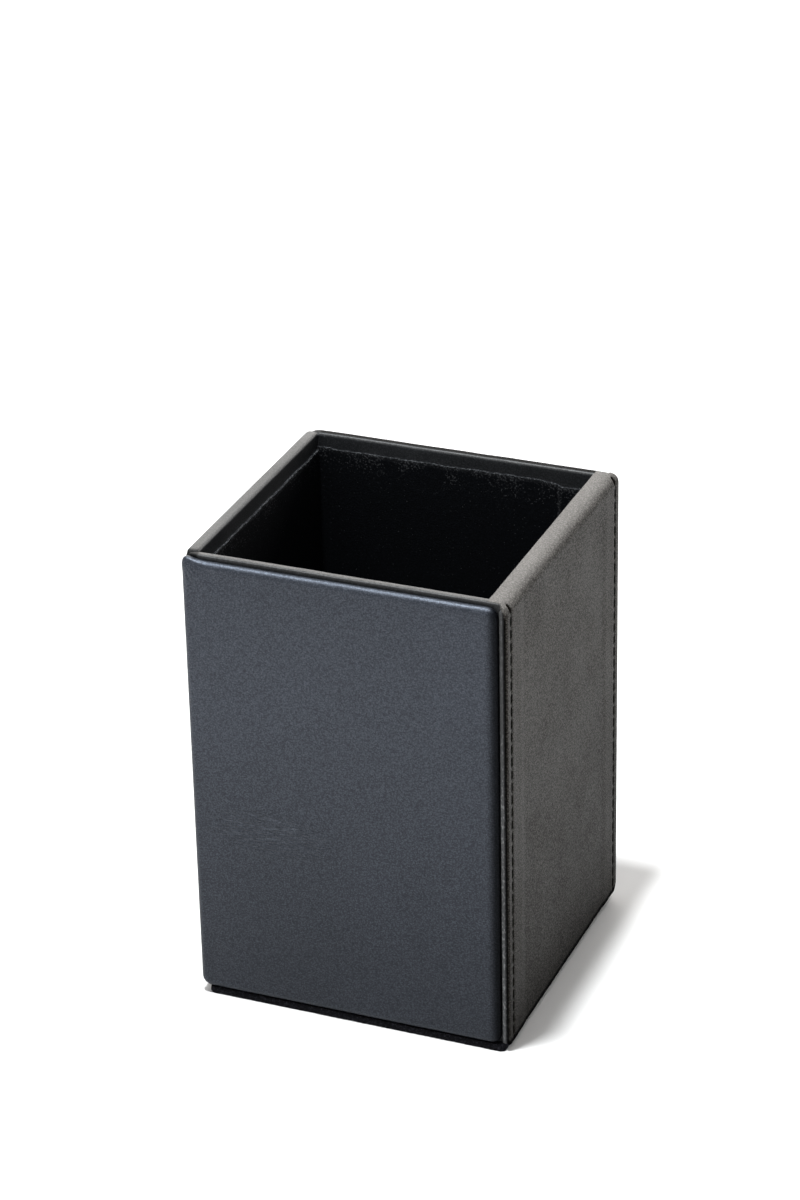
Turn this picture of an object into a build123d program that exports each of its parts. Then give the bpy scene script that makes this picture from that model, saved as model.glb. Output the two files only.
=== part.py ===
"""Square desk cup for pens: a board box wrapped in leather, with padded panels and a sewn side."""
import os

from build123d import *

# Overall size in millimetres. X runs left to right, Y front to back, Z up from the floor.
width = 81.2
depth = 80.0
height = 120.0

# Felt pad glued under the body, a little smaller than the body on three sides.
felt_thickness = 1.8
felt_inset_front = 0.3
felt_inset_back = 1.2
felt_inset_left = 2.0
felt_inset_right = 1.4
felt_corner = 1.2

# Boards of the inner box.
front_board_thickness = 1.4
side_board_thickness = 2.15
bottom_board_thickness = 2.0
board_edge_round = 0.6

# Leather wrapped round the front, left and back of the box.
wrap_thickness = 0.45
wrap_corner = 1.2
turn_in_depth = 10.0
turn_under_width = 9.0
rim_round = 0.6
rim_round_inside = 0.8

# Padded panels on the front and the back.
panel_thickness = 2.2
panel_drop = 1.05
panel_leather_thickness = 0.6
panel_flap_thickness = 0.3
panel_flap_width = 8.0
panel_board_thickness = 0.8
panel_board_inset = 0.7
panel_corner = 2.6
panel_edge_round = 1.7
panel_side_gap = 0.3

# Sewn side panel: a turned outer leather over a thick backing leather and a stiffener board.
side_leather_thickness = 0.8
side_leather_bead = 0.3
backing_thickness = 1.2
stiffener_thickness = 1.1
side_setback_front = 1.3
side_setback_back = 0.7
side_corner_top = 2.0
side_corner_back = 2.5
side_corner_front = 0.5

# Seams of the side panel: a pressed groove with one row of stitches near each upright edge.
seam_margin = 2.7
seam_groove_width = 0.9
seam_groove_depth = 0.3
seam_sweep = 54.0
bend_start = 2.0
bend_sweep = 47.0
stitch_pitch = 3.34
stitch_gap = 0.7
stitch_width = 0.55
stitch_corner = 0.15
stitch_start = 1.6

# Lining cards inside the cup.
lining_thickness = 0.7
lining_drop = 3.5
lining_drop_left = 4.2
lining_return = 5.0

# Planes and faces that follow from the sizes above.
left = -width / 2
right = width / 2
front = -depth / 2
back = depth / 2
underside = felt_thickness
core_front = front + panel_thickness
core_back = back - panel_thickness
board_bottom = underside + wrap_thickness
board_top = height - wrap_thickness
left_board_outer = left + wrap_thickness
left_board_inner = left_board_outer + side_board_thickness
front_board_outer = core_front + wrap_thickness
front_board_inner = front_board_outer + front_board_thickness
back_board_outer = core_back - wrap_thickness
back_board_inner = back_board_outer - front_board_thickness
side_front = front + side_setback_front
side_back = back - side_setback_back
backing_outer = right - side_leather_thickness
backing_inner = backing_outer - backing_thickness
right_board_outer = backing_inner - stiffener_thickness
right_board_inner = right_board_outer - side_board_thickness
right_board_top = height - side_leather_thickness
cup_left = left_board_inner + wrap_thickness
cup_right = right_board_inner - wrap_thickness
cup_front = front_board_inner + wrap_thickness
cup_back = back_board_inner - wrap_thickness
cup_floor = board_bottom + bottom_board_thickness
turn_in_bottom = height - turn_in_depth
rim_centre_x = right_board_outer
rim_centre_z = height - (right - right_board_outer)
panel_rear_round = (panel_thickness - panel_edge_round) / 2
panel_right = backing_inner - panel_side_gap
panel_top = height - panel_drop
beyond = 5.0  # how far a cut runs past what it cuts


def plan_rectangle(x_from, x_to, y_from, y_to, z):
    """A rectangle seen in plan, at height z, given by its limits."""
    with BuildSketch(Plane.XY.offset(z)) as outline:
        with Locations(((x_from + x_to) / 2, (y_from + y_to) / 2)):
            Rectangle(x_to - x_from, y_to - y_from)
    return outline.sketch


def panel_outline(inset, y):
    """The front panel's outline, moved in by inset, in the upright plane at y."""
    panel_width = panel_right - left - 2 * inset
    panel_height = panel_top - underside - 2 * inset
    with BuildSketch(Plane.XZ.offset(-y)) as outline:
        with Locations(((left + panel_right) / 2, (underside + panel_top) / 2)):
            RectangleRounded(panel_width, panel_height, max(panel_corner - inset, 0.2))
    return outline.sketch


def side_layer(outer_inset, inner_inset, sweep, y):
    """Section at y of one layer of the side wall: up its face, then over the rim by an angle."""
    outer_x = right - outer_inset
    inner_x = right - inner_inset
    with BuildSketch(Plane.XZ.offset(-y)) as section:
        with BuildLine():
            face = Line((outer_x, underside), (outer_x, rim_centre_z))
            over = CenterArc((rim_centre_x, rim_centre_z), outer_x - rim_centre_x, 0, sweep)
            under = CenterArc((rim_centre_x, rim_centre_z), inner_x - rim_centre_x, 0, sweep)
            Line(over @ 1, under @ 1)
            rear = Line(under @ 0, (inner_x, underside))
            Line(rear @ 1, face @ 0)
        make_face()
    return section.sketch


def side_outline():
    """The side panel seen from the right, with a different round at each kind of corner."""
    with BuildSketch(Plane.YZ.offset(cup_right - beyond)) as outline:
        with Locations(((side_front + side_back) / 2, (underside + height) / 2)):
            Rectangle(side_back - side_front, height - underside)
        top_corners = outline.vertices().group_by(Axis.Y)[-1]
        fillet(top_corners, side_corner_top)
        fillet(outline.vertices().group_by(Axis.Y)[0].sort_by(Axis.X)[0], side_corner_front)
        fillet(outline.vertices().group_by(Axis.Y)[0].sort_by(Axis.X)[-1], side_corner_back)
    return outline.sketch


def wall_board(x_from, x_to, y_from, y_to, top):
    """An upright board of the inner box."""
    with BuildPart() as board:
        extrude(plan_rectangle(x_from, x_to, y_from, y_to, board_bottom), amount=top - board_bottom)
    return board.part


def lining_card(x_from, x_to, y_from, y_to, top):
    """An upright card of the lining, standing on the bottom board."""
    with BuildPart() as card:
        extrude(plan_rectangle(x_from, x_to, y_from, y_to, cup_floor), amount=top - cup_floor)
    return card.part


def finish(name, part):
    """Labels a finished piece and writes it under its name."""
    part.label = name
    export_step(part, f"parts/{name}.step")


os.makedirs("parts", exist_ok=True)

# --- Inner box: four wall boards and a bottom board -------------------------------------------

with BuildPart() as core_left_board:
    add(wall_board(left_board_outer, left_board_inner, front_board_outer, back_board_outer, board_top))
    fillet(core_left_board.edges().filter_by(Axis.Y).group_by(Axis.Z)[-1], board_edge_round)

with BuildPart() as core_front_board:
    add(wall_board(left_board_inner, right_board_inner, front_board_outer, front_board_inner, board_top))
    fillet(core_front_board.edges().filter_by(Axis.X).group_by(Axis.Z)[-1], board_edge_round)

with BuildPart() as core_back_board:
    add(wall_board(left_board_inner, right_board_inner, back_board_inner, back_board_outer, board_top))
    fillet(core_back_board.edges().filter_by(Axis.X).group_by(Axis.Z)[-1], board_edge_round)

with BuildPart() as core_right_board:
    add(
        wall_board(
            right_board_inner, right_board_outer, front_board_outer, back_board_outer, right_board_top
        )
    )
    top_edges = core_right_board.edges().filter_by(Axis.Y).group_by(Axis.Z)[-1]
    fillet(top_edges.sort_by(Axis.X)[0], board_edge_round)

with BuildPart() as core_bottom_board:
    extrude(
        plan_rectangle(
            left_board_inner, right_board_inner, front_board_inner, back_board_inner, board_bottom
        ),
        amount=bottom_board_thickness,
    )

# --- Body leather: one strip round front, left and back, turned in at the rim and under the base

with BuildPart() as body_wrap_leather:
    extrude(plan_rectangle(left, backing_inner, core_front, core_back, underside), amount=height - underside)
    fillet(body_wrap_leather.edges().filter_by(Axis.Z).group_by(Axis.X)[0], wrap_corner)
    top_loop = body_wrap_leather.faces().sort_by(Axis.Z)[-1].edges()
    fillet(top_loop - top_loop.filter_by(Axis.Y).sort_by(Axis.X)[-1:], rim_round)
    # The cup itself, open towards the right wall.
    extrude(
        plan_rectangle(cup_left, right + beyond, cup_front, cup_back, board_bottom),
        amount=height,
        mode=Mode.SUBTRACT,
    )
    rim = body_wrap_leather.faces().sort_by(Axis.Z)[-1].edges()
    inner_rim = rim.filter_by_position(Axis.Y, cup_front - 0.01, cup_back + 0.01)
    fillet(inner_rim.filter_by_position(Axis.X, cup_left - 0.01, cup_right), rim_round_inside)
    # The boards it is wrapped round.
    add(core_left_board.part, mode=Mode.SUBTRACT)
    add(core_front_board.part, mode=Mode.SUBTRACT)
    add(core_back_board.part, mode=Mode.SUBTRACT)
    # The turned-in edge ends below the rim.
    extrude(
        plan_rectangle(left_board_inner, right + beyond, front_board_inner, back_board_inner, board_bottom),
        amount=turn_in_bottom - board_bottom,
        mode=Mode.SUBTRACT,
    )
    # The strip's ends run past the right board and stop lower, under the rolled rim.
    extrude(
        plan_rectangle(cup_right, right + beyond, front_board_inner, back_board_inner, board_bottom),
        amount=height,
        mode=Mode.SUBTRACT,
    )
    extrude(
        plan_rectangle(right_board_inner, right + beyond, front_board_outer, back_board_outer, board_bottom),
        amount=height,
        mode=Mode.SUBTRACT,
    )
    extrude(
        plan_rectangle(right_board_inner, right + beyond, front - beyond, back + beyond, right_board_top),
        amount=beyond,
        mode=Mode.SUBTRACT,
    )
    # The edge turned under the base leaves a window that the felt covers.
    extrude(
        plan_rectangle(
            left + turn_under_width,
            right + beyond,
            core_front + turn_under_width,
            core_back - turn_under_width,
            underside - beyond,
        ),
        amount=2 * beyond,
        mode=Mode.SUBTRACT,
    )

# --- Front panel: foam over a board, in a leather cover with its edges turned behind -----------

panel_core_depth = panel_thickness - panel_leather_thickness - panel_flap_thickness
panel_core_front = front + panel_leather_thickness
panel_core_back = panel_core_front + panel_core_depth
# The padding can't be rounder than it is thick.
panel_core_round = min(panel_edge_round - panel_leather_thickness, 0.9 * panel_core_depth)

with BuildPart() as panel_core:
    extrude(panel_outline(panel_leather_thickness, panel_core_back), amount=panel_core_depth)
    fillet(panel_core.faces().sort_by(Axis.Y)[0].edges(), panel_core_round)

with BuildPart() as front_panel_board:
    board_inset = panel_leather_thickness + panel_board_inset
    extrude(panel_outline(board_inset, panel_core_back), amount=panel_board_thickness)

with BuildPart() as front_panel_foam:
    add(panel_core.part)
    add(front_panel_board.part, mode=Mode.SUBTRACT)

with BuildPart() as front_panel_leather:
    extrude(panel_outline(0, core_front), amount=panel_thickness)
    fillet(front_panel_leather.faces().sort_by(Axis.Y)[0].edges(), panel_edge_round)
    fillet(front_panel_leather.faces().sort_by(Axis.Y)[-1].edges(), panel_rear_round)
    add(panel_core.part, mode=Mode.SUBTRACT)
    extrude(
        panel_outline(panel_flap_width, core_front + beyond),
        amount=beyond + panel_flap_thickness,
        mode=Mode.SUBTRACT,
    )

# --- Back panel: the front one turned round ----------------------------------------------------

with BuildPart() as back_panel_board:
    mirror(front_panel_board.part, about=Plane.XZ)

with BuildPart() as back_panel_foam:
    mirror(front_panel_foam.part, about=Plane.XZ)

with BuildPart() as back_panel_leather:
    mirror(front_panel_leather.part, about=Plane.XZ)

# --- Side panel: stiffener, backing leather and outer leather, rolled together over the rim ----

with BuildPart() as side_panel_stiffener:
    with BuildSketch(Plane.XZ):
        with BuildLine():
            stiffener_face = Line((backing_inner, board_bottom), (backing_inner, rim_centre_z))
            stiffener_top = CenterArc((rim_centre_x, rim_centre_z), stiffener_thickness, 0, 90)
            Polyline(stiffener_top @ 1, (right_board_outer, board_bottom), stiffener_face @ 0)
        make_face()
    extrude(amount=back_board_outer, both=True)

with BuildPart() as side_panel_backing:
    extrude(side_layer(side_leather_thickness, right - backing_inner, 90, 0), amount=depth / 2, both=True)
    for y_from, y_to in ((front - beyond, front_board_outer), (back_board_outer, back + beyond)):
        extrude(
            plan_rectangle(cup_right, backing_inner, y_from, y_to, underside),
            amount=height,
            mode=Mode.SUBTRACT,
        )
    extrude(side_outline(), amount=width, mode=Mode.INTERSECT)

with BuildPart() as side_panel_leather:
    with BuildSketch(Plane.XZ) as leather_section:
        with BuildLine():
            outer_face = Line((right, underside), (right, rim_centre_z))
            outer_roll = CenterArc((rim_centre_x, rim_centre_z), right - rim_centre_x, 0, 90)
            rim_top = Line(outer_roll @ 1, (cup_right + rim_round_inside, height))
            inner_roll = CenterArc(
                (cup_right + rim_round_inside, height - rim_round_inside), rim_round_inside, 90, 90
            )
            turn_in = Line(inner_roll @ 1, (cup_right, turn_in_bottom))
            turn_in_end = Line(turn_in @ 1, (right_board_inner, turn_in_bottom))
            over_board = Polyline(
                turn_in_end @ 1,
                (right_board_inner, right_board_top),
                (rim_centre_x, right_board_top),
            )
            inner_arc = CenterArc((rim_centre_x, rim_centre_z), backing_outer - rim_centre_x, 90, -90)
            Polyline(inner_arc @ 1, (backing_outer, underside), outer_face @ 0)
        make_face()
    extrude(amount=depth / 2, both=True)
    for y_from, y_to in ((front - beyond, front_board_outer), (back_board_outer, back + beyond)):
        extrude(
            plan_rectangle(cup_right - beyond, backing_inner, y_from, y_to, underside),
            amount=height,
            mode=Mode.SUBTRACT,
        )
    for y_from, y_to in ((front - beyond, front_board_inner), (back_board_inner, back + beyond)):
        extrude(
            plan_rectangle(cup_right - beyond, right_board_inner, y_from, y_to, underside),
            amount=height,
            mode=Mode.SUBTRACT,
        )
    extrude(side_outline(), amount=width, mode=Mode.INTERSECT)
    upright_edges = side_panel_leather.edges().filter_by(Axis.Z)
    fillet(upright_edges.filter_by_position(Axis.X, right - 0.01, right + 0.01), side_leather_bead)
    for seam_y in (side_front + seam_margin, side_back - seam_margin):
        extrude(
            side_layer(-1, seam_groove_depth, seam_sweep, seam_y + seam_groove_width / 2),
            amount=seam_groove_width,
            mode=Mode.SUBTRACT,
        )

# --- Seam threads: straight stitches up the face and a last one bent over the roll -------------

stitch_length = stitch_pitch - stitch_gap
first_stitch = underside + stitch_start + stitch_length / 2
stitch_count = int((rim_centre_z - stitch_length / 2 - first_stitch) / stitch_pitch) + 1
groove_floor = right - seam_groove_depth
bend_radius = groove_floor - rim_centre_x


def seam_thread(seam_y):
    """One row of stitches lying in the groove at seam_y."""
    with BuildPart() as thread:
        with BuildSketch(Plane.YZ.offset(groove_floor)) as straight_stitches:
            for number in range(stitch_count):
                with Locations((seam_y, first_stitch + number * stitch_pitch)):
                    Rectangle(stitch_width, stitch_length)
            chamfer(straight_stitches.vertices(), stitch_corner)
        extrude(straight_stitches.sketch, amount=seam_groove_depth)
        with BuildSketch(Plane.XZ.offset(-seam_y)) as bent_stitch:
            with BuildLine():
                over = CenterArc((rim_centre_x, rim_centre_z), right - rim_centre_x, bend_start, bend_sweep)
                under = CenterArc((rim_centre_x, rim_centre_z), bend_radius, bend_start, bend_sweep)
                Line(over @ 0, under @ 0)
                Line(over @ 1, under @ 1)
            make_face()
        extrude(bent_stitch.sketch, amount=stitch_width / 2, both=True)
    return thread.part


with BuildPart() as front_seam_thread:
    add(seam_thread(side_front + seam_margin))

with BuildPart() as back_seam_thread:
    add(seam_thread(side_back - seam_margin))

# --- Lining: four cards and a floor; the right card turns the corner onto the back wall --------

with BuildPart() as lining_front:
    add(lining_card(cup_left, cup_right, cup_front, cup_front + lining_thickness, height - lining_drop))

with BuildPart() as lining_left:
    add(
        lining_card(
            cup_left,
            cup_left + lining_thickness,
            cup_front + lining_thickness,
            cup_back - lining_thickness,
            height - lining_drop_left,
        )
    )

with BuildPart() as lining_back:
    add(
        lining_card(
            cup_left,
            cup_right - lining_return,
            cup_back - lining_thickness,
            cup_back,
            height - lining_drop,
        )
    )

with BuildPart() as lining_right:
    with BuildSketch(Plane.XY.offset(cup_floor)):
        with BuildLine():
            Polyline(
                (cup_right, cup_front + lining_thickness),
                (cup_right, cup_back),
                (cup_right - lining_return, cup_back),
                (cup_right - lining_return, cup_back - lining_thickness),
                (cup_right - lining_thickness, cup_back - lining_thickness),
                (cup_right - lining_thickness, cup_front + lining_thickness),
                close=True,
            )
        make_face()
    extrude(amount=height - lining_drop - cup_floor)

with BuildPart() as lining_floor:
    extrude(
        plan_rectangle(
            cup_left + lining_thickness,
            cup_right - lining_thickness,
            cup_front + lining_thickness,
            cup_back - lining_thickness,
            cup_floor,
        ),
        amount=lining_thickness,
    )

# --- Felt pad ----------------------------------------------------------------------------------

with BuildPart() as base_felt:
    extrude(
        plan_rectangle(
            left + felt_inset_left,
            right - felt_inset_right,
            front + felt_inset_front,
            back - felt_inset_back,
            0,
        ),
        amount=felt_thickness,
    )
    fillet(base_felt.edges().filter_by(Axis.Z), felt_corner)

finish("core_left_board", core_left_board.part)
finish("core_front_board", core_front_board.part)
finish("core_back_board", core_back_board.part)
finish("core_right_board", core_right_board.part)
finish("core_bottom_board", core_bottom_board.part)
finish("body_wrap_leather", body_wrap_leather.part)
finish("front_panel_board", front_panel_board.part)
finish("front_panel_foam", front_panel_foam.part)
finish("front_panel_leather", front_panel_leather.part)
finish("back_panel_board", back_panel_board.part)
finish("back_panel_foam", back_panel_foam.part)
finish("back_panel_leather", back_panel_leather.part)
finish("side_panel_stiffener", side_panel_stiffener.part)
finish("side_panel_backing", side_panel_backing.part)
finish("side_panel_leather", side_panel_leather.part)
finish("front_seam_thread", front_seam_thread.part)
finish("back_seam_thread", back_seam_thread.part)
finish("lining_front", lining_front.part)
finish("lining_left", lining_left.part)
finish("lining_back", lining_back.part)
finish("lining_right", lining_right.part)
finish("lining_floor", lining_floor.part)
finish("base_felt", base_felt.part)
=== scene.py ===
"""Looks of a square leather desk cup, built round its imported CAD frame.

Leather panels, the wrapped rim, the sewn side with its stitches, the black lining and the felt pad
each have an operator of their own, and so has the stage that they are seen on.
"""

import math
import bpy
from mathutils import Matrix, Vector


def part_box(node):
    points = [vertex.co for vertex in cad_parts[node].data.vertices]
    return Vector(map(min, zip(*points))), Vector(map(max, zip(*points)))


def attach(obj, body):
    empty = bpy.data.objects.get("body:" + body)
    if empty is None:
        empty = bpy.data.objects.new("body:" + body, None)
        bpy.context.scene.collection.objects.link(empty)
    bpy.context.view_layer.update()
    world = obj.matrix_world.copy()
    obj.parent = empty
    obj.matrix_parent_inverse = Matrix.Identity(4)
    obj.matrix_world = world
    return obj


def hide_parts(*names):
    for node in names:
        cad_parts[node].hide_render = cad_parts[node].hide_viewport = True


bl_info = {
    "name": "Leather desk cup",
    "version": (1, 0, 0),
    "blender": (4, 5, 0),
    "location": "View3D > Sidebar > Desk Cup",
    "description": "Leather, seams, lining, felt and stage of a square desk cup",
    "category": "Add Mesh",
}

import bmesh
import bpy
import numpy as np
from bpy.props import FloatProperty, FloatVectorProperty, IntProperty, PointerProperty
from mathutils import Matrix, Vector, noise

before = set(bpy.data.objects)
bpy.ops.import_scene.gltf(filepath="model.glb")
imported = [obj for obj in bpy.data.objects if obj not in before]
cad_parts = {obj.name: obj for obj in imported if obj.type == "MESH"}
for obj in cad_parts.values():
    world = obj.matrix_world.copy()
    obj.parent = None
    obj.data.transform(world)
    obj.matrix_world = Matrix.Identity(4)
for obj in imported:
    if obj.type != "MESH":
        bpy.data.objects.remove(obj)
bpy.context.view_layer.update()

MM = 0.001
BODY = "root"

# Less than any real distance, for telling whether a point has passed a place.
HAIR = 0.0001 * MM

# Places that the frame gives, in metres.
WRAP_LOW, WRAP_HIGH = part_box("body_wrap_leather")
SIDE_LOW, SIDE_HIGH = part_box("side_panel_leather")
RIGHT_BOARD_LOW, RIGHT_BOARD_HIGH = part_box("core_right_board")
LEFT = WRAP_LOW.x
RIGHT = SIDE_HIGH.x
TOP = SIDE_HIGH.z
UNDERSIDE = SIDE_LOW.z
BODY_FRONT = WRAP_LOW.y
BODY_BACK = WRAP_HIGH.y
SIDE_FRONT = SIDE_LOW.y
SIDE_BACK = SIDE_HIGH.y
PANEL_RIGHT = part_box("front_panel_leather")[1].x
CUP_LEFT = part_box("lining_left")[0].x
CUP_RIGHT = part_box("lining_right")[1].x
CUP_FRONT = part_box("lining_front")[0].y
CUP_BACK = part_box("lining_back")[1].y
ROLL_X = RIGHT_BOARD_HIGH.x
ROLL_RADIUS = RIGHT - ROLL_X
ROLL_Z = TOP - ROLL_RADIUS

# Leather thicknesses and folds that the looks share with the frame.
WRAP_THICKNESS = 0.45 * MM
SIDE_THICKNESS = 0.8 * MM
BACKING_THICKNESS = 1.2 * MM
RIM_ROUND = 0.6 * MM
RIM_ROUND_INSIDE = 0.8 * MM
RIM_CORNER = 3.0 * MM
TURN_IN = 10.0 * MM
BACKING_INNER = RIGHT - SIDE_THICKNESS - BACKING_THICKNESS

# How much further the right lining card turns onto the back wall than the frame's card does.
TURN_FURTHER = 3.6 * MM


# --- Settings ---------------------------------------------------------------------------------


def colour_setting(name, description, default):
    """A colour that a user can change."""
    return FloatVectorProperty(
        name=name, description=description, subtype="COLOR", size=3, min=0.0, max=1.0, default=default
    )


def length_setting(name, description, default, least, most):
    """A length that a user can change. Its three numbers are in millimetres."""
    span = {"default": default * MM, "min": least * MM, "max": most * MM}
    return FloatProperty(name=name, description=description, unit="LENGTH", **span)


def angle_setting(name, description, degrees):
    """An angle that a user can change."""
    turn = math.radians(degrees)
    return FloatProperty(name=name, description=description, unit="ROTATION", default=turn)


def power_setting(name, description, default):
    """A lamp's power that a user can change, in watts."""
    span = {"default": default, "min": 0.0, "max": 500.0}
    return FloatProperty(name=name, description=description, unit="POWER", **span)


def plain_setting(name, description, default, least, most):
    """A plain number that a user can change."""
    return FloatProperty(name=name, description=description, default=default, min=least, max=most)


class CupLeatherSettings(bpy.types.PropertyGroup):
    """Colours and grain of the leathers"""

    panel_colour: colour_setting(
        "Panel colour", "Leather of the padded panels", (0.0135, 0.0152, 0.021)
    )
    wrap_colour: colour_setting(
        "Wrap colour", "Leather wrapped round the box and over its rim", (0.022, 0.024, 0.027)
    )
    side_colour: colour_setting(
        "Side colour", "Outer leather of the sewn side", (0.0250, 0.0226, 0.0200)
    )
    backing_colour: colour_setting(
        "Backing colour", "Cut edge of the backing leather", (0.050, 0.051, 0.052)
    )
    rubbed_colour: colour_setting(
        "Rubbed colour", "Leather that is worn dull and pale on the rim", (0.150, 0.143, 0.137)
    )
    grain_size: length_setting("Grain size", "Width of one pebble of the grain", 0.42, 0.1, 5.0)
    grain_depth: length_setting(
        "Grain depth", "Height of the pebbles over the creases between them", 0.035, 0.0, 0.5
    )


class CupFormSettings(bpy.types.PropertyGroup):
    """Shapes of the padded, rolled and folded leather"""

    panel_corner: length_setting("Panel corner", "Radius of a padded panel's corners", 2.6, 1.8, 10.0)
    panel_edge: length_setting("Panel edge", "Radius of a padded panel's soft edge", 1.7, 0.5, 1.9)
    pillow: length_setting(
        "Pillow", "How far a padded face falls back towards its edges", 0.22, 0.0, 0.5
    )
    bead: length_setting(
        "Turned edge", "Radius of the side leather's turned upright edges", 0.45, 0.1, 0.7
    )
    flap_step: length_setting(
        "Flap step", "Step where the side leather's turned-in flaps end under it", 0.14, 0.0, 0.5
    )


class CupSeamSettings(bpy.types.PropertyGroup):
    """Stitches and grooves of the side's two seams"""

    margin: length_setting(
        "Margin", "Distance of a seam from the side's upright edge", 2.7, 1.0, 10.0
    )
    groove_depth: length_setting(
        "Groove depth", "Depth to which the stitches pull the leather in", 0.38, 0.0, 0.6
    )
    pitch: length_setting("Pitch", "Distance from one stitch to the next", 3.34, 1.0, 10.0)
    gap: length_setting("Gap", "Distance between the ends of two stitches", 0.7, 0.2, 5.0)
    thread_width: length_setting("Thread width", "Width of the thread", 1.05, 0.2, 2.0)
    start: length_setting(
        "Start", "Height of the first stitch's lower end over the underside", 1.6, 0.5, 20.0
    )
    stitch_count: IntProperty(
        name="Stitches", description="Stitches in one seam", min=2, max=100, default=35
    )
    tilt: angle_setting("Tilt", "Largest turn of a stitch out of the seam's line", 3.0)
    seed: IntProperty(name="Seed", description="Seed of the stitches' tilts", default=7)
    thread_colour: colour_setting("Thread colour", "Colour of the thread", (0.0020, 0.0016, 0.0010))


class CupLiningSettings(bpy.types.PropertyGroup):
    """Lining cards and felt pad"""

    lining_colour: colour_setting(
        "Lining colour", "Face of the lining cards", (0.0030, 0.0036, 0.0048)
    )
    raw_edge_colour: colour_setting(
        "Raw edge colour", "Torn upper edge of the lining cards", (0.110, 0.114, 0.122)
    )
    raggedness: length_setting(
        "Raggedness", "Height of the tears along a card's upper edge", 0.22, 0.0, 2.0
    )
    corner_dip: length_setting(
        "Corner dip", "How far the cards' upper edge drops in the back-right corner", 0.9, 0.0, 3.0
    )
    felt_colour: colour_setting("Felt colour", "Colour of the felt pad", (0.004, 0.004, 0.005))


class CupStageSettings(bpy.types.PropertyGroup):
    """Camera, lights and floor"""

    azimuth: angle_setting(
        "Azimuth", "How far the camera stands round to the right of the front", 22.5
    )
    elevation: angle_setting("Elevation", "How far the camera stands above the level", 26.82)
    roll: angle_setting("Roll", "How far the camera is turned about its own line of sight", -1.265)
    distance: length_setting(
        "Distance", "Distance from the camera to the point that it looks at", 914.2, 100.0, 10000.0
    )
    target: FloatVectorProperty(
        name="Target",
        description="Point that the camera looks at",
        subtype="TRANSLATION",
        unit="LENGTH",
        size=3,
        default=(-0.001713, 0.000307, 0.09604),
    )
    lens: plain_setting("Lens", "Focal length in millimetres on a 36 mm frame", 113.6, 10.0, 500.0)
    low_sky: plain_setting("Low sky", "Brightness of the light from near the horizon", 0.75, 0.0, 10.0)
    high_sky: plain_setting("High sky", "Brightness of the light from overhead", 0.45, 0.0, 10.0)
    right_sky: plain_setting(
        "Right sky", "Share of the sky's brightness that its right side has", 0.4, 0.0, 1.0
    )
    key_power: power_setting(
        "Overhead power", "Power of the small lamp overhead, a little to the left", 17.0
    )
    strip_power: power_setting(
        "Strip power", "Power of the cool lamp, seen only as a shine, that draws the rolled edges", 14.0
    )
    back_power: power_setting("Back power", "Power of the warm wide lamp behind", 20.0)
    floor_colour: colour_setting("Floor colour", "Colour of the plain floor", (0.86, 0.86, 0.86))


class DeskCupSettings(bpy.types.PropertyGroup):
    """All settings of the desk cup"""

    leather: PointerProperty(type=CupLeatherSettings)
    form: PointerProperty(type=CupFormSettings)
    seam: PointerProperty(type=CupSeamSettings)
    lining: PointerProperty(type=CupLiningSettings)
    stage: PointerProperty(type=CupStageSettings)


# --- Meshes -----------------------------------------------------------------------------------


def smooth_step(value, start, end):
    """0 before start, 1 after end, and a smooth rise between them."""
    t = np.clip((np.asarray(value, float) - start) / (end - start), 0.0, 1.0)
    return t * t * (3 - 2 * t)


def hump(value, centre, width):
    """A smooth hump of height 1 at centre, about width to each side."""
    return np.exp(-(((np.asarray(value, float) - centre) / width) ** 2))


def waves(points, size, seed):
    """Smooth noise from -1 to 1 at each point. size is a wave's width along X, Y and Z."""
    places = points / np.broadcast_to(np.asarray(size, float), (3,)) + 13.7 * seed
    return np.array([noise.noise(Vector(place)) for place in places])


def together(*parts):
    """Points from their coordinates, each of which may be a number or an array."""
    return np.stack(np.broadcast_arrays(*parts), axis=-1)


def quarter(count):
    """Angles from 0 to a quarter turn."""
    return np.radians(np.linspace(0, 90, count))


def rounded_off(into, radius):
    """How far a rounded edge has fallen away at a distance into its round part."""
    into = np.clip(into, 0, radius)
    return radius - np.sqrt(np.maximum(radius**2 - into**2, 0))


def grid_faces(rows, columns):
    """The quads of a grid of points, as an array of rows - 1 by columns - 1 by 4 numbers."""
    number = np.arange(rows * columns).reshape(rows, columns)
    corners = [number[:-1, :-1], number[:-1, 1:], number[1:, 1:], number[1:, :-1]]
    return np.stack(corners, axis=-1)


def ring_faces(first, second):
    """The quads between two closed loops with as many points."""
    first, second = np.asarray(first), np.asarray(second)
    quads = np.stack([first, np.roll(first, -1), np.roll(second, -1), second], axis=-1)
    return quads.tolist()


def tube_faces(rings, around):
    """The faces of a tube of rings, each with as many points around, and of its two ends."""
    number = np.arange(rings * around).reshape(rings, around)
    faces = []
    for first, second in zip(number[:-1], number[1:]):
        faces += ring_faces(first, second)
    return faces + [number[0, ::-1].tolist(), number[-1].tolist()]


def shell(outer, inner, faces):
    """Points and faces of a closed shell: two like skins, and a wall along every free edge."""
    outer, inner, faces = outer.reshape(-1, 3), inner.reshape(-1, 3), faces.reshape(-1, 4)
    used = np.unique(faces)
    number = np.full(len(outer), -1)
    number[used] = np.arange(len(used))
    faces = number[faces]
    count = len(used)
    starts, ends = faces.reshape(-1), np.roll(faces, -1, axis=1).reshape(-1)
    edges = set(zip(starts.tolist(), ends.tolist()))
    free = np.array([(a, b) for a, b in edges if (b, a) not in edges])
    free = free[np.lexsort((free[:, 1], free[:, 0]))]
    walls = np.column_stack([free[:, 1], free[:, 0], free[:, 0] + count, free[:, 1] + count])
    points = np.vstack([outer[used], inner[used]])
    return points, np.vstack([faces, faces[:, ::-1] + count, walls])


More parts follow.
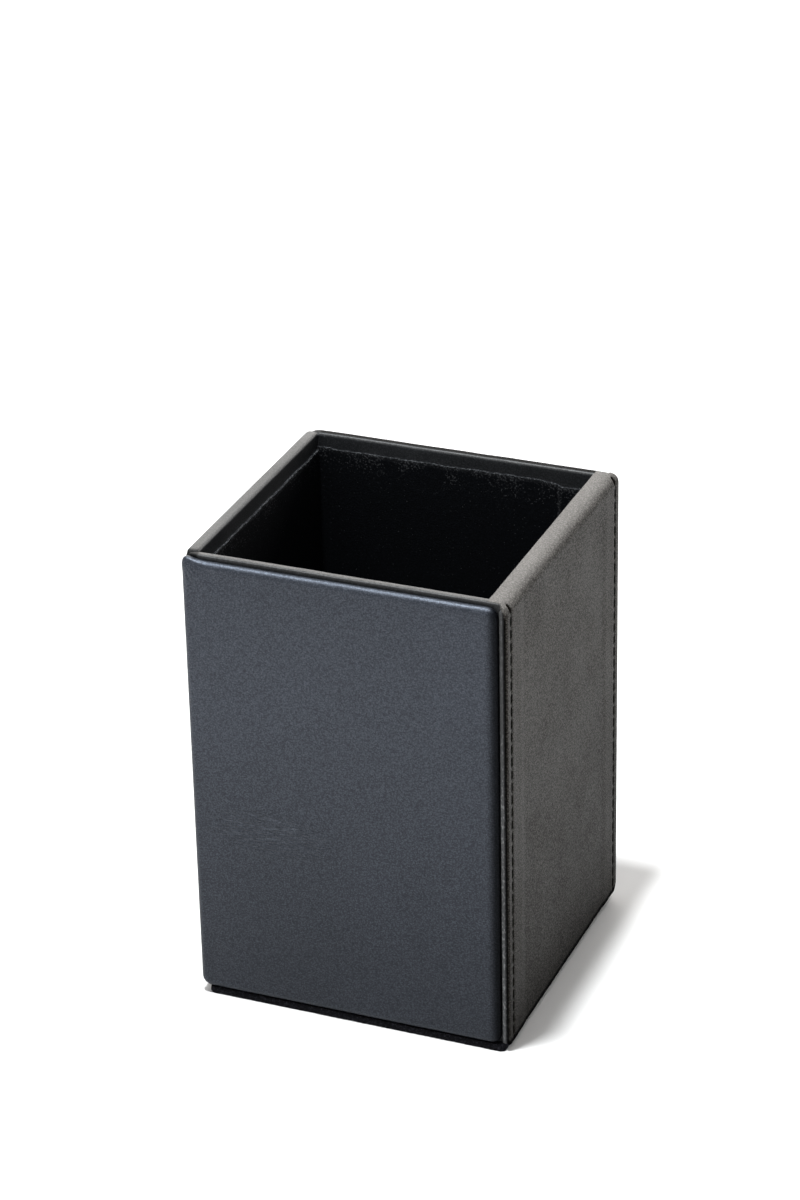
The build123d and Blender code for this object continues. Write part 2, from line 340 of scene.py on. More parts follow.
def new_piece(name, points, faces, sharp=math.radians(50)):
    """A closed mesh object with its faces outwards, smooth except at sharp edges."""
    mesh = bpy.data.meshes.new(name)
    faces = faces.tolist() if isinstance(faces, np.ndarray) else faces
    mesh.from_pydata(np.asarray(points, float).tolist(), [], faces)
    form = bmesh.new()
    form.from_mesh(mesh)
    bmesh.ops.recalc_face_normals(form, faces=form.faces)
    if form.calc_volume(signed=True) < 0:
        bmesh.ops.reverse_faces(form, faces=form.faces)
    form.to_mesh(mesh)
    form.free()
    mesh.shade_smooth()
    mesh.set_sharp_from_angle(angle=sharp)
    piece = bpy.data.objects.new(name, mesh)
    bpy.context.scene.collection.objects.link(piece)
    return piece


def mark_raw(piece, values):
    """Marks each point of a card with how pale and torn it is there."""
    mark = piece.data.attributes.new("raw", "FLOAT", "POINT")
    mark.data.foreach_set("value", values.astype(np.float32))
    return piece


def settle(piece, material, slot, *nodes):
    """Gives a finished piece its material and its body, and hides the frame's nodes that it stands for.
    """
    piece.data.materials.clear()
    piece.data.materials.append(material)
    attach(piece, BODY)
    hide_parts(*nodes)


# --- Nodes ------------------------------------------------------------------------------------


class Nodes:
    """A node tree, with short calls for the nodes that finishes, sky and seams are made of."""

    def __init__(self, tree):
        self.tree = tree

    def put(self, socket, value):
        """Links value into socket if it is an output, and sets it otherwise."""
        if isinstance(value, bpy.types.NodeSocket):
            self.tree.links.new(value, socket)
        elif isinstance(value, (tuple, list)) and socket.type == "RGBA" and len(value) == 3:
            socket.default_value = (*value, 1.0)
        else:
            socket.default_value = value

    def add(self, kind, values=(), **options):
        """A new node. values holds what goes into its inputs, by their names or numbers."""
        node = self.tree.nodes.new(kind)
        for name, option in options.items():
            setattr(node, name, option)
        for key, value in dict(values).items():
            self.put(node.inputs[key], value)
        return node

    def math(self, operation, *values):
        """One Math node."""
        return self.add("ShaderNodeMath", enumerate(values), operation=operation).outputs[0]

    def times(self, first, second):
        """first times second."""
        return self.math("MULTIPLY", first, second)

    def ramp(self, value, low, high, start=0.0, end=1.0):
        """value from low to high, as start to end, held at both ends."""
        values = enumerate((value, low, high, start, end))
        return self.add("ShaderNodeMapRange", values, interpolation_type="SMOOTHSTEP").outputs[0]

    def split(self, vector):
        """A vector's X, Y and Z."""
        return self.add("ShaderNodeSeparateXYZ", {0: vector}).outputs


class Finish(Nodes):
    """A material whose nodes read the piece's own coordinates, in metres."""

    def __init__(self, name):
        self.material = bpy.data.materials.new(name)
        self.material.use_nodes = True
        super().__init__(self.material.node_tree)
        self.place = self.add("ShaderNodeTexCoord").outputs["Object"]

    def fill(self, **values):
        """Fills the shader's inputs: Base_Color for Base Color, and so on."""
        shader = next(node for node in self.tree.nodes if node.type == "BSDF_PRINCIPLED")
        for name, value in values.items():
            self.put(shader.inputs[name.replace("_", " ")], value)
        return self.material

    def noise(self, size=1.0, detail=2.0, roughness=0.5, distortion=0.0, per_metre=None):
        """Noise with waves about size metres wide, or with so many in a metre along each axis."""
        place = self.place
        if per_metre is not None:
            values = {0: place, 1: per_metre}
            place = self.add("ShaderNodeVectorMath", values, operation="MULTIPLY").outputs[0]
        values = {"Vector": place, "Scale": 1.0 / size, "Detail": detail}
        values.update({"Roughness": roughness, "Distortion": distortion})
        return self.add("ShaderNodeTexNoise", values).outputs["Fac"]

    def pebbles(self, size):
        """Rounded cells about size metres wide: 0 in their middles, rising to the creases."""
        values = {"Vector": self.place, "Scale": 1.0 / size, "Smoothness": 0.35}
        return self.add("ShaderNodeTexVoronoi", values, feature="SMOOTH_F1").outputs["Distance"]

    def mix(self, amount, first, second):
        """first where amount is 0, second where it is 1."""
        values = {0: amount, 6: first, 7: second}
        return self.add("ShaderNodeMix", values, data_type="RGBA").outputs[2]

    def tinted(self, colour, factor):
        """colour times a factor."""
        values = {0: colour, "Scale": factor}
        return self.add("ShaderNodeVectorMath", values, operation="SCALE").outputs[0]

    def axis(self, letter):
        """One coordinate of the piece's own place, in metres."""
        return self.split(self.place)[letter]

    def attribute(self, name):
        """A number that the mesh holds at its points."""
        return self.add("ShaderNodeAttribute", attribute_name=name).outputs["Fac"]

    def bump(self, height, distance, under=None):
        """A normal that height raises by distance metres, over an earlier normal if given."""
        values = {"Strength": 1.0, "Distance": distance, "Height": height}
        if under is not None:
            values["Normal"] = under
        return self.add("ShaderNodeBump", values).outputs["Normal"]


# --- Materials --------------------------------------------------------------------------------


def scaled(colour, factor):
    """A colour times a factor."""
    return tuple(min(1.0, part * factor) for part in colour)


def leather(name, colour, roughness, shine, tint, grain, shade=None, folds=False, rubbed=None):
    """Fine-grained leather. grain is how marked its grain is, and shine how much it reflects.

    shade gives a factor of painted shade, which darkens both colour and reflection, and rubbed a mix for
    worn ones.
    """
    settings = bpy.context.scene.desk_cup.leather
    finish = Finish(name)
    pebbles = finish.pebbles(settings.grain_size)
    creases = finish.ramp(pebbles, 0.30, 0.62)
    pores = finish.noise(settings.grain_size * 0.6, roughness=0.6)
    blotches = finish.noise(14 * MM, detail=3.0)
    clouds = finish.noise(45 * MM, detail=1.0)
    wrinkles = finish.noise(detail=3.0, distortion=0.8, per_metre=(1700.0, 2200.0, 3000.0))
    pores = finish.math("MULTIPLY_ADD", wrinkles, 0.5, finish.times(pores, 0.5))
    fine = finish.ramp(pores, 0.36, 0.64, 1 - 0.38 * grain, 1 + 0.38 * grain)
    coarse = finish.ramp(creases, 0.0, 1.0, 1 + 0.15 * grain, 1 - 0.4 * grain)
    grain_and_shade = finish.times(finish.times(fine, coarse), finish.ramp(blotches, 0.3, 0.7, 0.95, 1.05))
    base = finish.mix(finish.ramp(clouds, 0.4, 0.62), scaled(colour, 0.92), scaled(colour, 1.12))
    if rubbed is not None:
        # Worn leather is smoother, and pale in small specks.
        worn = rubbed(finish)
        less = finish.math("MULTIPLY_ADD", worn, -0.6, 1.0)
        grain_and_shade = finish.math("MULTIPLY_ADD", finish.math("SUBTRACT", grain_and_shade, 1.0), less, 1.0)
        speckle = finish.ramp(finish.noise(0.4 * MM, roughness=0.6), 0.36, 0.62, 0.66, 1.0)
        base = finish.mix(finish.times(worn, speckle), base, tuple(settings.rubbed_colour))
    # Painted shade: shade darkens the colour and the reflection together with the grain.
    if shade is not None:
        grain_and_shade = finish.times(grain_and_shade, shade(finish))
    dusty = finish.ramp(finish.noise(1.0 * MM, detail=1.0), 0.73, 0.80, 0.0, 0.7)
    base = finish.mix(dusty, base, scaled(colour, 3.0))
    normal = finish.bump(finish.times(pebbles, -1.0), settings.grain_depth)
    normal = finish.bump(pores, settings.grain_depth * 0.8, normal)
    if folds:
        normal = finish.bump(fold_field(finish), 0.13 * MM, normal)
    return finish.fill(
        Base_Color=finish.tinted(base, grain_and_shade),
        Specular_IOR_Level=finish.times(grain_and_shade, shine),
        Specular_Tint=tint,
        Roughness=finish.ramp(blotches, 0.3, 0.7, roughness - 0.04, roughness + 0.04),
        Normal=normal,
    )


def panel_painted_shade(finish):
    """Painted shade: darker towards the foot, and dark in the groove at the panel's right edge."""
    low = finish.ramp(finish.axis("Z"), -5 * MM, 100 * MM, 0.55, 1.0)
    # Painted shade in the groove where the right edge meets the side.
    edge = finish.ramp(finish.axis("X"), PANEL_RIGHT - 3.2 * MM, PANEL_RIGHT - 0.3 * MM, 1.0, 0.14)
    return finish.times(low, edge)


def side_painted_shade(finish):
    """Painted shade: darker towards the foot, a painted black shadow along the lower edge, and dark
    where the face is sunk in.
    """
    height = finish.axis("Z")
    low = finish.ramp(height, -5 * MM, 108 * MM, 0.5, 1.0)
    # A painted black band stands in for the shadowed gap and the felt under the lower edge.
    foot = finish.ramp(height, UNDERSIDE + 0.9 * MM, UNDERSIDE + 1.7 * MM, 0.06, 1.0)
    upright = finish.ramp(height, ROLL_Z - 0.6 * MM, ROLL_Z + 0.6 * MM)
    # Painted shade in the seam grooves and on the rounded edges, below the roll.
    crease = finish.ramp(finish.axis("X"), RIGHT - 0.55 * MM, RIGHT - 0.12 * MM, 0.12, 1.0)
    return finish.times(finish.times(low, foot), finish.math("MAXIMUM", crease, upright))


def wrap_painted_shade(finish):
    """Painted shade on the outer round of the front and back rims, down in the gaps behind the panels.
    """
    across, along, _ = finish.split(finish.place)
    front = finish.ramp(along, BODY_FRONT + 0.10 * MM, BODY_FRONT + 0.60 * MM, 0.65, 1.0)
    back = finish.ramp(along, BODY_BACK - 2.15 * MM, BODY_BACK - 1.5 * MM, 0.0, 0.95)
    from_left = finish.ramp(across, LEFT + 1.0 * MM, LEFT + 4.0 * MM)
    back = finish.math("SUBTRACT", 1.0, finish.times(back, from_left))
    # Painted shade on the fold at the rim's front left corner.
    near_x = finish.ramp(across, LEFT + 3.2 * MM, LEFT + 4.1 * MM, 1.0, 0.0)
    near_y = finish.ramp(along, BODY_FRONT + 1.6 * MM, BODY_FRONT + 3.6 * MM, 1.0, 0.0)
    corner = finish.math("MULTIPLY_ADD", finish.times(near_x, near_y), -0.8, 1.0)
    return finish.times(finish.times(front, back), corner)


def rim_wear(finish):
    """Full wear on the rim's upper surface, fading out 2.6 mm below it."""
    return finish.ramp(finish.axis("Z"), TOP - 2.6 * MM, TOP - 0.15 * MM)


def slight_rim_wear(finish):
    """A little wear, on the rim's upper surface only."""
    return finish.ramp(finish.axis("Z"), TOP - 0.8 * MM, TOP - 0.2 * MM, 0.0, 0.12)


def fold_field(finish):
    """Thin level folds in the leather, strongest in the middle of the front's left half."""
    parts = []
    for letter, middle, reach in (("X", -20 * MM, 19 * MM), ("Z", 49 * MM, 7 * MM)):
        away = finish.math("SUBTRACT", finish.axis(letter), middle)
        parts.append(finish.math("POWER", finish.math("DIVIDE", away, reach), 2.0))
    near = finish.ramp(finish.math("ADD", *parts), 0.15, 1.2, 1.0, 0.0)
    lines = finish.noise(distortion=0.6, per_metre=(130.0, 0.0, 900.0))
    lines = finish.math("ABSOLUTE", finish.math("SUBTRACT", lines, 0.5))
    return finish.times(finish.ramp(lines, 0.0, 0.08), near)


def cut_edge_finish():
    """Cut edge of the thick backing leather: edge paint near the rim, fuzzy and pale lower down, with
    painted shade towards both faces.
    """
    colour = tuple(bpy.context.scene.desk_cup.leather.backing_colour)
    finish = Finish("backing_cut_edge")
    fibres = finish.noise(detail=4.0, per_metre=(2600.0, 2600.0, 1100.0))
    patches = finish.noise(7 * MM, detail=3.0)
    worn = finish.ramp(finish.axis("Z"), 60 * MM, 95 * MM, 1.0, 0.25)
    worn = finish.times(worn, finish.ramp(patches, 0.35, 0.6, 0.6, 1.0))
    # Painted shade: darker towards both faces, where the edge meets the grooves beside it.
    across = finish.math("SUBTRACT", finish.axis("X"), BACKING_INNER)
    inner = finish.ramp(across, -0.08 * MM, 0.12 * MM, 0.4, 1.0)
    outer = finish.ramp(across, 0.62 * MM, 0.98 * MM, 1.0, 0.22)
    groove_shade = finish.times(inner, outer)
    base = finish.mix(worn, colour, scaled(colour, 1.6))
    tufts = finish.times(finish.ramp(fibres, 0.50, 0.66, 0.0, 0.9), worn)
    base = finish.mix(tufts, base, scaled(colour, 5.0))
    return finish.fill(
        Base_Color=finish.tinted(base, groove_shade),
        Specular_IOR_Level=finish.times(groove_shade, 0.35),
        Roughness=0.75,
        Normal=finish.bump(fibres, 0.08 * MM),
    )


def lining_finish():
    """Black fibrous card with grey lint, thickest below its torn upper edge."""
    settings = bpy.context.scene.desk_cup.lining
    colour, pale = tuple(settings.lining_colour), tuple(settings.raw_edge_colour)
    finish = Finish("lining_card")
    fibres = finish.noise(0.35 * MM, detail=3.0)
    lint = finish.noise(0.5 * MM, roughness=0.7)
    dusty = finish.ramp(finish.noise(9 * MM), 0.30, 0.60)
    high = finish.ramp(finish.axis("Z"), TOP - 13 * MM, TOP - 3.5 * MM)
    least = finish.math("MULTIPLY_ADD", finish.times(high, dusty), -0.15, 0.672)
    specks = finish.ramp(finish.math("SUBTRACT", lint, least), 0.0, 0.06)
    torn = finish.times(finish.attribute("raw"), finish.ramp(lint, 0.46, 0.64, 0.10, 0.55))
    base = finish.mix(finish.ramp(fibres, 0.4, 0.7), colour, scaled(colour, 1.9))
    base = finish.mix(finish.times(specks, 0.45), base, pale)
    return finish.fill(
        Base_Color=finish.mix(torn, base, pale),
        Roughness=0.92,
        Specular_IOR_Level=0.06,
        Normal=finish.bump(fibres, 0.08 * MM),
    )


def felt_finish():
    """Matted black fibres."""
    colour = tuple(bpy.context.scene.desk_cup.lining.felt_colour)
    finish = Finish("felt")
    fibres = finish.noise(0.3 * MM, detail=5.0, distortion=1.2)
    strands = finish.noise(detail=3.0, per_metre=(3000.0, 3000.0, 1200.0))
    return finish.fill(
        Base_Color=finish.mix(finish.ramp(fibres, 0.52, 0.70), colour, scaled(colour, 12.0)),
        Roughness=1.0,
        Specular_IOR_Level=0.05,
        Normal=finish.bump(strands, 0.2 * MM, finish.bump(fibres, 0.2 * MM)),
    )


def thread_finish():
    """Black waxed thread."""
    colour = tuple(bpy.context.scene.desk_cup.seam.thread_colour)
    finish = Finish("black_thread")
    fuzz = finish.noise(0.12 * MM)
    return finish.fill(
        Base_Color=finish.mix(fuzz, colour, scaled(colour, 2.5)),
        Roughness=0.75,
        Specular_IOR_Level=0.04,
        Normal=finish.bump(fuzz, 0.03 * MM),
    )


def board_finish(name, colour, fibre_size):
    """Pressed grey board or padding: short pale and dark fibres."""
    finish = Finish(name)
    fibres = finish.noise(fibre_size, detail=5.0)
    flecks = finish.ramp(finish.noise(fibre_size * 3), 0.6, 0.7)
    base = finish.mix(fibres, scaled(colour, 0.8), scaled(colour, 1.15))
    base = finish.mix(finish.times(flecks, 0.4), base, scaled(colour, 0.5))
    return finish.fill(Base_Color=base, Roughness=0.9, Normal=finish.bump(fibres, 0.05 * MM))


# --- Padded panels ----------------------------------------------------------------------------


def rounded_side(length, corner, count):
    """Points and outward normals along one side of a rounded rectangle, mid-corner to mid-corner."""
    arc = corner * math.pi / 4
    total = length - 2 * corner + 2 * arc
    run = np.linspace(0, total, count, endpoint=False)
    before, after = run < arc, run > total - arc
    angle = np.full(count, math.radians(270))
    angle[before] = math.radians(225) + run[before] / corner
    angle[after] = math.radians(270) + (run[after] - (total - arc)) / corner
    centre = np.where(before, corner, np.where(after, length - corner, corner + run - arc))
    normal = together(np.cos(angle), np.sin(angle))
    return together(centre, corner) + corner * normal, normal


def rounded_outline(width, height, corner, across, up):
    """Points and outward normals round a rounded rectangle, with across or up points on each side."""
    points, normals = [], []
    for turn, (x, z) in enumerate(((0, 0), (width, 0), (width, height), (0, height))):
        level = turn % 2 == 0
        side, out = rounded_side(width if level else height, corner, across if level else up)
        cosine, sine = round(math.cos(turn * math.pi / 2)), round(math.sin(turn * math.pi / 2))
        rotation = np.array([[cosine, sine], [-sine, cosine]])
        points.append(side @ rotation + (x, z))
        normals.append(out @ rotation)
    return np.vstack(points), np.vstack(normals)


def front_relief(places):
    """How far the front's leather lies behind its highest point: soft waves, dents and thin folds."""
    x, z = places[:, 0], places[:, 2]
    depth = 0.05 * MM * (1 + waves(places, 16 * MM, 1)) + 0.02 * MM * waves(places, 5 * MM, 2)
    depth += 0.10 * MM * hump(z, 12 * MM, 7 * MM)
    # The corner by the rim: a puffed fold over the board's corner, with a dent beside it.
    depth -= 0.08 * MM * hump(x, -37.6 * MM, 2.2 * MM) * hump(z, 115.9 * MM, 2.0 * MM)
    slant = x + 0.6 * (z - 116 * MM)
    depth += 0.16 * MM * hump(slant, -33.4 * MM, 1.6 * MM) * hump(z, 115.8 * MM, 2.6 * MM)
    # Wrinkles fan out from that corner, and a thin crease runs in below it.
    across, down = x - LEFT, TOP - 1.0 * MM - z
    away, turn = np.hypot(across, down), np.arctan2(down, across)
    fan = np.cos(22 * turn + 0.8 * waves(places, 3 * MM, 20))
    depth += 0.20 * MM * hump(away, 0, 5.5 * MM) + 0.06 * MM * fan * hump(away, 5 * MM, 3.5 * MM)
    crease = 113.3 * MM + 0.25 * MM * np.sin((x + 40 * MM) / (1.1 * MM))
    depth += 0.07 * MM * hump(z, crease, 0.4 * MM) * hump(x, -38.2 * MM, 2.2 * MM)
    # A small kink in the roll, near the middle.
    depth += 0.12 * MM * hump(x, -0.5 * MM, 0.9 * MM) * hump(z, 118.6 * MM, 1.6 * MM)
    return depth


def back_relief(places):
    """How far the back's leather lies behind its highest point."""
    return 0.05 * MM * (1 + waves(places, 18 * MM, 5)) + 0.02 * MM * waves(places, 6 * MM, 6)


def padded_panel(name, node, facing, cell, relief):
    """A padded panel's leather. facing is -1 if its face looks to the front, and 1 to the back."""
    form = bpy.context.scene.desk_cup.form
    low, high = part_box(node)
    width, height, depth = high.x - low.x, high.z - low.z, high.y - low.y
    inset = 3.0 * MM
    across, up = round((width - 2 * inset) / cell), round((height - 2 * inset) / cell)
    columns = np.linspace(inset, width - inset, across + 1)
    rows = np.linspace(inset, height - inset, up + 1)
    field = np.array([(x, z) for z in rows for x in columns])
    number = np.arange(len(field)).reshape(up + 1, across + 1)
    border = [number[0, :-1], number[:-1, -1], number[-1, :0:-1], number[:0:-1, 0]]
    border = np.concatenate(border)
    outline, normal = rounded_outline(width, height, form.panel_corner, across, up)

    # Loops from the rear edge round the soft front edge: how far in, and how far back, each lies.
    edge, rear = form.panel_edge, 0.25 * MM
    loops = [(rear, depth), (0.3 * rear, depth - 0.3 * rear), (0.0, depth - rear)]
    loops += [(edge * (1 - math.cos(turn)), edge * (1 - math.sin(turn))) for turn in quarter(11)]
    flat = [outline - normal * inward for inward, _ in loops]
    # Two more bring the face in to the field.
    flat += [flat[-1] + share * (field[border] - flat[-1]) for share in (0.35, 0.7)]
    sunk = [back for _, back in loops] + [0.0, 0.0]

    plane = np.vstack([field] + flat)
    sink = np.concatenate([np.zeros(len(field)), np.repeat(sunk, len(outline))])
    places = together(low.x + plane[:, 0], 0.0, low.z + plane[:, 1])
    rim = np.minimum.reduce([plane[:, 0], width - plane[:, 0], plane[:, 1], height - plane[:, 1]])
    face_share = np.clip(1 - sink / edge, 0, 1)
    pillow = form.pillow * (1 - smooth_step(rim, 0, 9 * MM))
    sink = sink + face_share * (pillow + relief(places))
    places[:, 1] = (low.y + sink) if facing < 0 else (high.y - sink)
    # The upper left corner, as seen from the front, is stuffed fuller than the others.
    full = 0.32 * MM * hump(np.hypot(places[:, 0] - low.x, places[:, 2] - high.z), 0.8 * MM, 1.8 * MM)
    places[:, 0] = np.maximum(places[:, 0] - full, low.x)
    rise = 0.75 * MM * hump(np.hypot(places[:, 0] - low.x, places[:, 2] - high.z), 0, 3.2 * MM)
    places[:, 2] = np.minimum(places[:, 2] + full, high.z) + (rise if facing < 0 else 0.0)

    rings = len(field) + np.arange(len(flat) * len(outline)).reshape(len(flat), len(outline))
    faces = grid_faces(up + 1, across + 1).reshape(-1, 4).tolist()
    for first, second in zip(rings, [*rings[1:], border]):
        faces += ring_faces(first, second)
    faces.append(rings[0, ::-1].tolist())
    return new_piece(name, places, faces)


# --- Wrapped body -----------------------------------------------------------------------------


def wrap_course(across, along, corner, counts):
    """One course of the wrap in plan: in by across at the front and back, by along at the left."""
    straight, arc, wall = counts
    centre_x = LEFT + along + corner
    front_y, back_y = BODY_FRONT + across, BODY_BACK - across
    angles = np.radians(np.linspace(270, 180, arc + 1))[1:-1]
    front = together(np.linspace(RIGHT_BOARD_LOW.x, centre_x, straight), front_y)
    turn = together(centre_x + corner * np.cos(angles), front_y + corner + corner * np.sin(angles))
    left = together(LEFT + along, np.linspace(front_y + corner, back_y - corner, wall))
    half = np.vstack([front, turn])
    return np.vstack([half, left, half[::-1] * (1, -1)])


def wrap_section(side_wall, left_wall):
    """The wrap's section as (in at the front, in at the left, height), round from the base's flap."""
    fold, flap, skin = 0.5 * MM, 9.0 * MM, WRAP_THICKNESS
    section = [(flap, flap, UNDERSIDE), (1.2 * MM, 1.2 * MM, UNDERSIDE)]
    for angle in quarter(5):
        near = fold * (1 - math.sin(angle))
        section.append((near, near, UNDERSIDE + fold * (1 - math.cos(angle))))
    for z in np.linspace(UNDERSIDE + fold, TOP - RIM_ROUND, 72)[1:-1]:
        section.append((0.0, 0.0, z))
    for angle in quarter(9):
        near = RIM_ROUND * (1 - math.cos(angle))
        section.append((near, near, TOP - RIM_ROUND * (1 - math.sin(angle))))
    for angle in quarter(8)[::-1]:
        far = RIM_ROUND_INSIDE * (1 - math.cos(angle))
        height = TOP - RIM_ROUND_INSIDE * (1 - math.sin(angle))
        section.append((side_wall - far, left_wall - far, height))
    for z in np.linspace(TOP - RIM_ROUND_INSIDE, TOP - TURN_IN, 12)[1:]:
        section.append((side_wall, left_wall, z))
    return section + [
        (side_wall - skin, left_wall - skin, TOP - TURN_IN),
        (side_wall - skin, left_wall - skin, TOP - skin),
        (skin, skin, TOP - skin),
        (skin, skin, UNDERSIDE + skin),
        (flap, flap, UNDERSIDE + skin),
    ]


def wrap_end(wall):
    """The wrap's end, which runs on past the right board under the rolled rim. wall is -1 in front."""
    run = np.linspace(RIGHT_BOARD_LOW.x + 0.01 * MM, BACKING_INNER, 14)
    crest = TOP - 0.12 * MM - rounded_off(run - ROLL_X, ROLL_RADIUS)
    radius = 0.4 * MM
    rings = []
    for x, top in zip(run, crest):
        ring = [(x, 0.0, UNDERSIDE)]
        for angle in quarter(6):
            ring.append((x, radius * (1 - math.cos(angle)), top - radius * (1 - math.sin(angle))))
        rings.append(ring + [(x, WRAP_THICKNESS, top), (x, WRAP_THICKNESS, UNDERSIDE)])
    points = np.array(rings)
    points[..., 1] = wall * (BODY_BACK - points[..., 1])
    return points.reshape(-1, 3), tube_faces(*points.shape[:2])


def body_wrap():
    """The leather round the front, left and back, turned in over the rim and under the base."""
    straight, arc, wall = 64, 12, 60
    low_corner, least_corner = 1.2 * MM, 0.15 * MM
    courses = []
    for across, along, z in wrap_section(CUP_FRONT - BODY_FRONT, CUP_LEFT - LEFT):
        widening = (RIM_CORNER - low_corner) * smooth_step(z, TOP - 2.6 * MM, TOP - 0.2 * MM)
        corner = max(low_corner + float(widening) - across, least_corner)
        plan = wrap_course(across, along, corner, (straight, arc, wall))
        courses.append(together(plan[:, 0], plan[:, 1], z))
    points = np.array(courses)
    rows, columns = points.shape[:2]

    # A fold is pressed into the rim at each left corner, from the outer corner to the inner one.
    high = smooth_step(points[..., 2], TOP - 1.6 * MM, TOP - 0.3 * MM)
    place = np.arange(columns)
    fold = straight + (arc - 2) / 2
    sharp, broad = (0.27 * MM, 1.8), (0.12 * MM, 6.0)
    for middle in (fold, columns - 1 - fold):
        for depth, half_width in (sharp, broad):
            points[..., 2] -= depth * high * hump(place, middle, half_width)

    # A rim folded by hand isn't quite level, and the left side's leather isn't quite flat.
    flat = points.reshape(-1, 3)
    flat[:, 2] += 0.07 * MM * high.reshape(-1) * waves(flat, 7 * MM, 3)
    outside = np.isclose(flat[:, 0], LEFT) & (flat[:, 2] < TOP - 3 * MM)
    by_corner = smooth_step(np.abs(flat[:, 1]), BODY_BACK - 2 * MM, BODY_BACK + 4 * MM)
    swell = 0.06 * MM * (1 + waves(flat, 15 * MM, 4)) * (1 - by_corner)
    flat[outside, 0] += swell[outside]

    number = np.arange(rows * columns).reshape(rows, columns)
    closing = [number[-1, :-1], number[-1, 1:], number[0, 1:], number[0, :-1]]
    faces = grid_faces(rows, columns).reshape(-1, 4).tolist() + np.stack(closing, axis=-1).tolist()
    faces += [number[:, 0].tolist(), number[::-1, -1].tolist()]
    for end in (-1, 1):
        strip, strip_faces = wrap_end(end)
        faces += [[corner + len(flat) for corner in face] for face in strip_faces]
        flat = np.vstack([flat, strip])
    return new_piece("body_wrap", flat, faces)


def left_board():
    """The left board, its upright edges rounded where the leather turns the rim's corners."""
    low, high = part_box("core_left_board")
    radius = RIM_CORNER - WRAP_THICKNESS
    last = math.pi + math.acos((radius - (high.x - low.x)) / radius)
    angles = np.linspace(math.pi, last, 10)
    front = np.array((low.x, low.y)) + radius * (1 + together(np.cos(angles), np.sin(angles)))
    plan = np.vstack([front, front[::-1] * (1, -1) + (0, low.y + high.y)])
    points = [(x, y, z) for z in (low.z, high.z) for x, y in plan]
    return new_piece("left_board", points, tube_faces(2, len(plan)))


# --- Sewn side --------------------------------------------------------------------------------


def side_limits(z):
    """How far the side panel's rounded corners stand in from its front and back edges at height z."""
    top, front, back = 2.0 * MM, 0.5 * MM, 2.5 * MM
    upper = rounded_off(z - (TOP - top), top)
    return [np.maximum(upper, rounded_off(UNDERSIDE + foot - z, foot)) for foot in (front, back)]


def side_columns(seam, wrap_end_at, board_end_at):
    """Distances in from an upright edge at which the side leather has its columns of points."""
    near = np.array([0, 0.03, 0.1, 0.2, 0.33, 0.5, 0.75, 1.05]) * MM
    steps = (-1.0, -0.75, -0.6, -0.45, -0.34, -0.22, -0.11, 0, 0.11, 0.22, 0.34, 0.45, 0.6)
    groove = seam.margin + np.array(steps) * MM
    rounded = wrap_end_at + np.array([0, 0.05, 0.15, 0.3]) * MM
    after = np.array([3.4, 3.9, 4.5, 5.2, 6.0, 6.8, 7.5, 8.2, 8.8, 9.4, 10.0, 10.6, 11.2, 11.9]) * MM
    return np.unique(np.round(np.concatenate([near, groove, rounded, [board_end_at], after]), 7))


def side_distances(seam):
    """For the side leather's columns: how far in each lies from its nearer upright edge, how far in
    the wrap and the board end there, and whether that edge is the back one.
    """
    middle = (SIDE_BACK - SIDE_FRONT) / 2
    halves = []
    for edge, wrap, cup_wall in ((SIDE_FRONT, BODY_FRONT, CUP_FRONT), (SIDE_BACK, BODY_BACK, CUP_BACK)):
        wrap_end_at = abs(edge - wrap) + WRAP_THICKNESS
        board_end_at = abs(edge - cup_wall) - WRAP_THICKNESS
        near = side_columns(seam, wrap_end_at, board_end_at)
        inward = np.concatenate([near, np.linspace(near[-1], middle, 32)[1:]])
        halves.append(together(inward, wrap_end_at, board_end_at))
    front, back = halves
    columns = np.vstack([front, back[-2::-1]])
    return (*columns.T, np.arange(len(columns)) >= len(front))


def side_rows():
    """The side leather's section: outer and inner points, run along it and angle on the roll."""
    foot = UNDERSIDE + np.array([0, 0.04, 0.15, 0.3, 0.5, 0.8, 1.2, 1.7, 2.2, 2.5]) * MM
    face = np.concatenate([foot, np.linspace(foot[-1], ROLL_Z, 226)[1:]])
    outer = [(RIGHT, z) for z in face]
    inner = [(RIGHT - SIDE_THICKNESS, z) for z in face]
    angle = [0.0] * len(face)
    at_backing = math.acos((BACKING_INNER - ROLL_X) / ROLL_RADIUS)
    small = ROLL_RADIUS - SIDE_THICKNESS
    for turn in np.unique(np.append(quarter(22)[1:], at_backing)):
        outer.append((ROLL_X + ROLL_RADIUS * math.cos(turn), ROLL_Z + ROLL_RADIUS * math.sin(turn)))
        inner.append((ROLL_X + small * math.cos(turn), ROLL_Z + small * math.sin(turn)))
        angle.append(math.degrees(turn))
    board_top = TOP - SIDE_THICKNESS
    edge = CUP_RIGHT + RIM_ROUND_INSIDE
    board = RIGHT_BOARD_LOW.x
    for x in np.linspace(ROLL_X, edge, 5)[1:]:
        outer.append((x, TOP))
        inner.append((x, board_top))
    at_board = math.asin((edge - board) / RIM_ROUND_INSIDE)
    for turn in np.unique(np.append(quarter(8)[1:], at_board)):
        x = edge - RIM_ROUND_INSIDE * math.sin(turn)
        outer.append((x, TOP - RIM_ROUND_INSIDE * (1 - math.cos(turn))))
        inner.append((max(x, board), board_top - 0.3 * MM * smooth_step(turn, at_board, math.pi / 2)))
    for z in np.linspace(TOP - RIM_ROUND_INSIDE, TOP - TURN_IN, 12)[1:]:
        outer.append((CUP_RIGHT, z))
        inner.append((board, min(z, board_top - 0.35 * MM)))
    outer, inner = np.array(outer), np.array(inner)
    angle = np.array(angle + [90.0] * (len(outer) - len(angle)))
    steps = np.linalg.norm(np.diff(outer, axis=0), axis=1)
    return outer, inner, np.concatenate([[0.0], np.cumsum(steps)]), angle


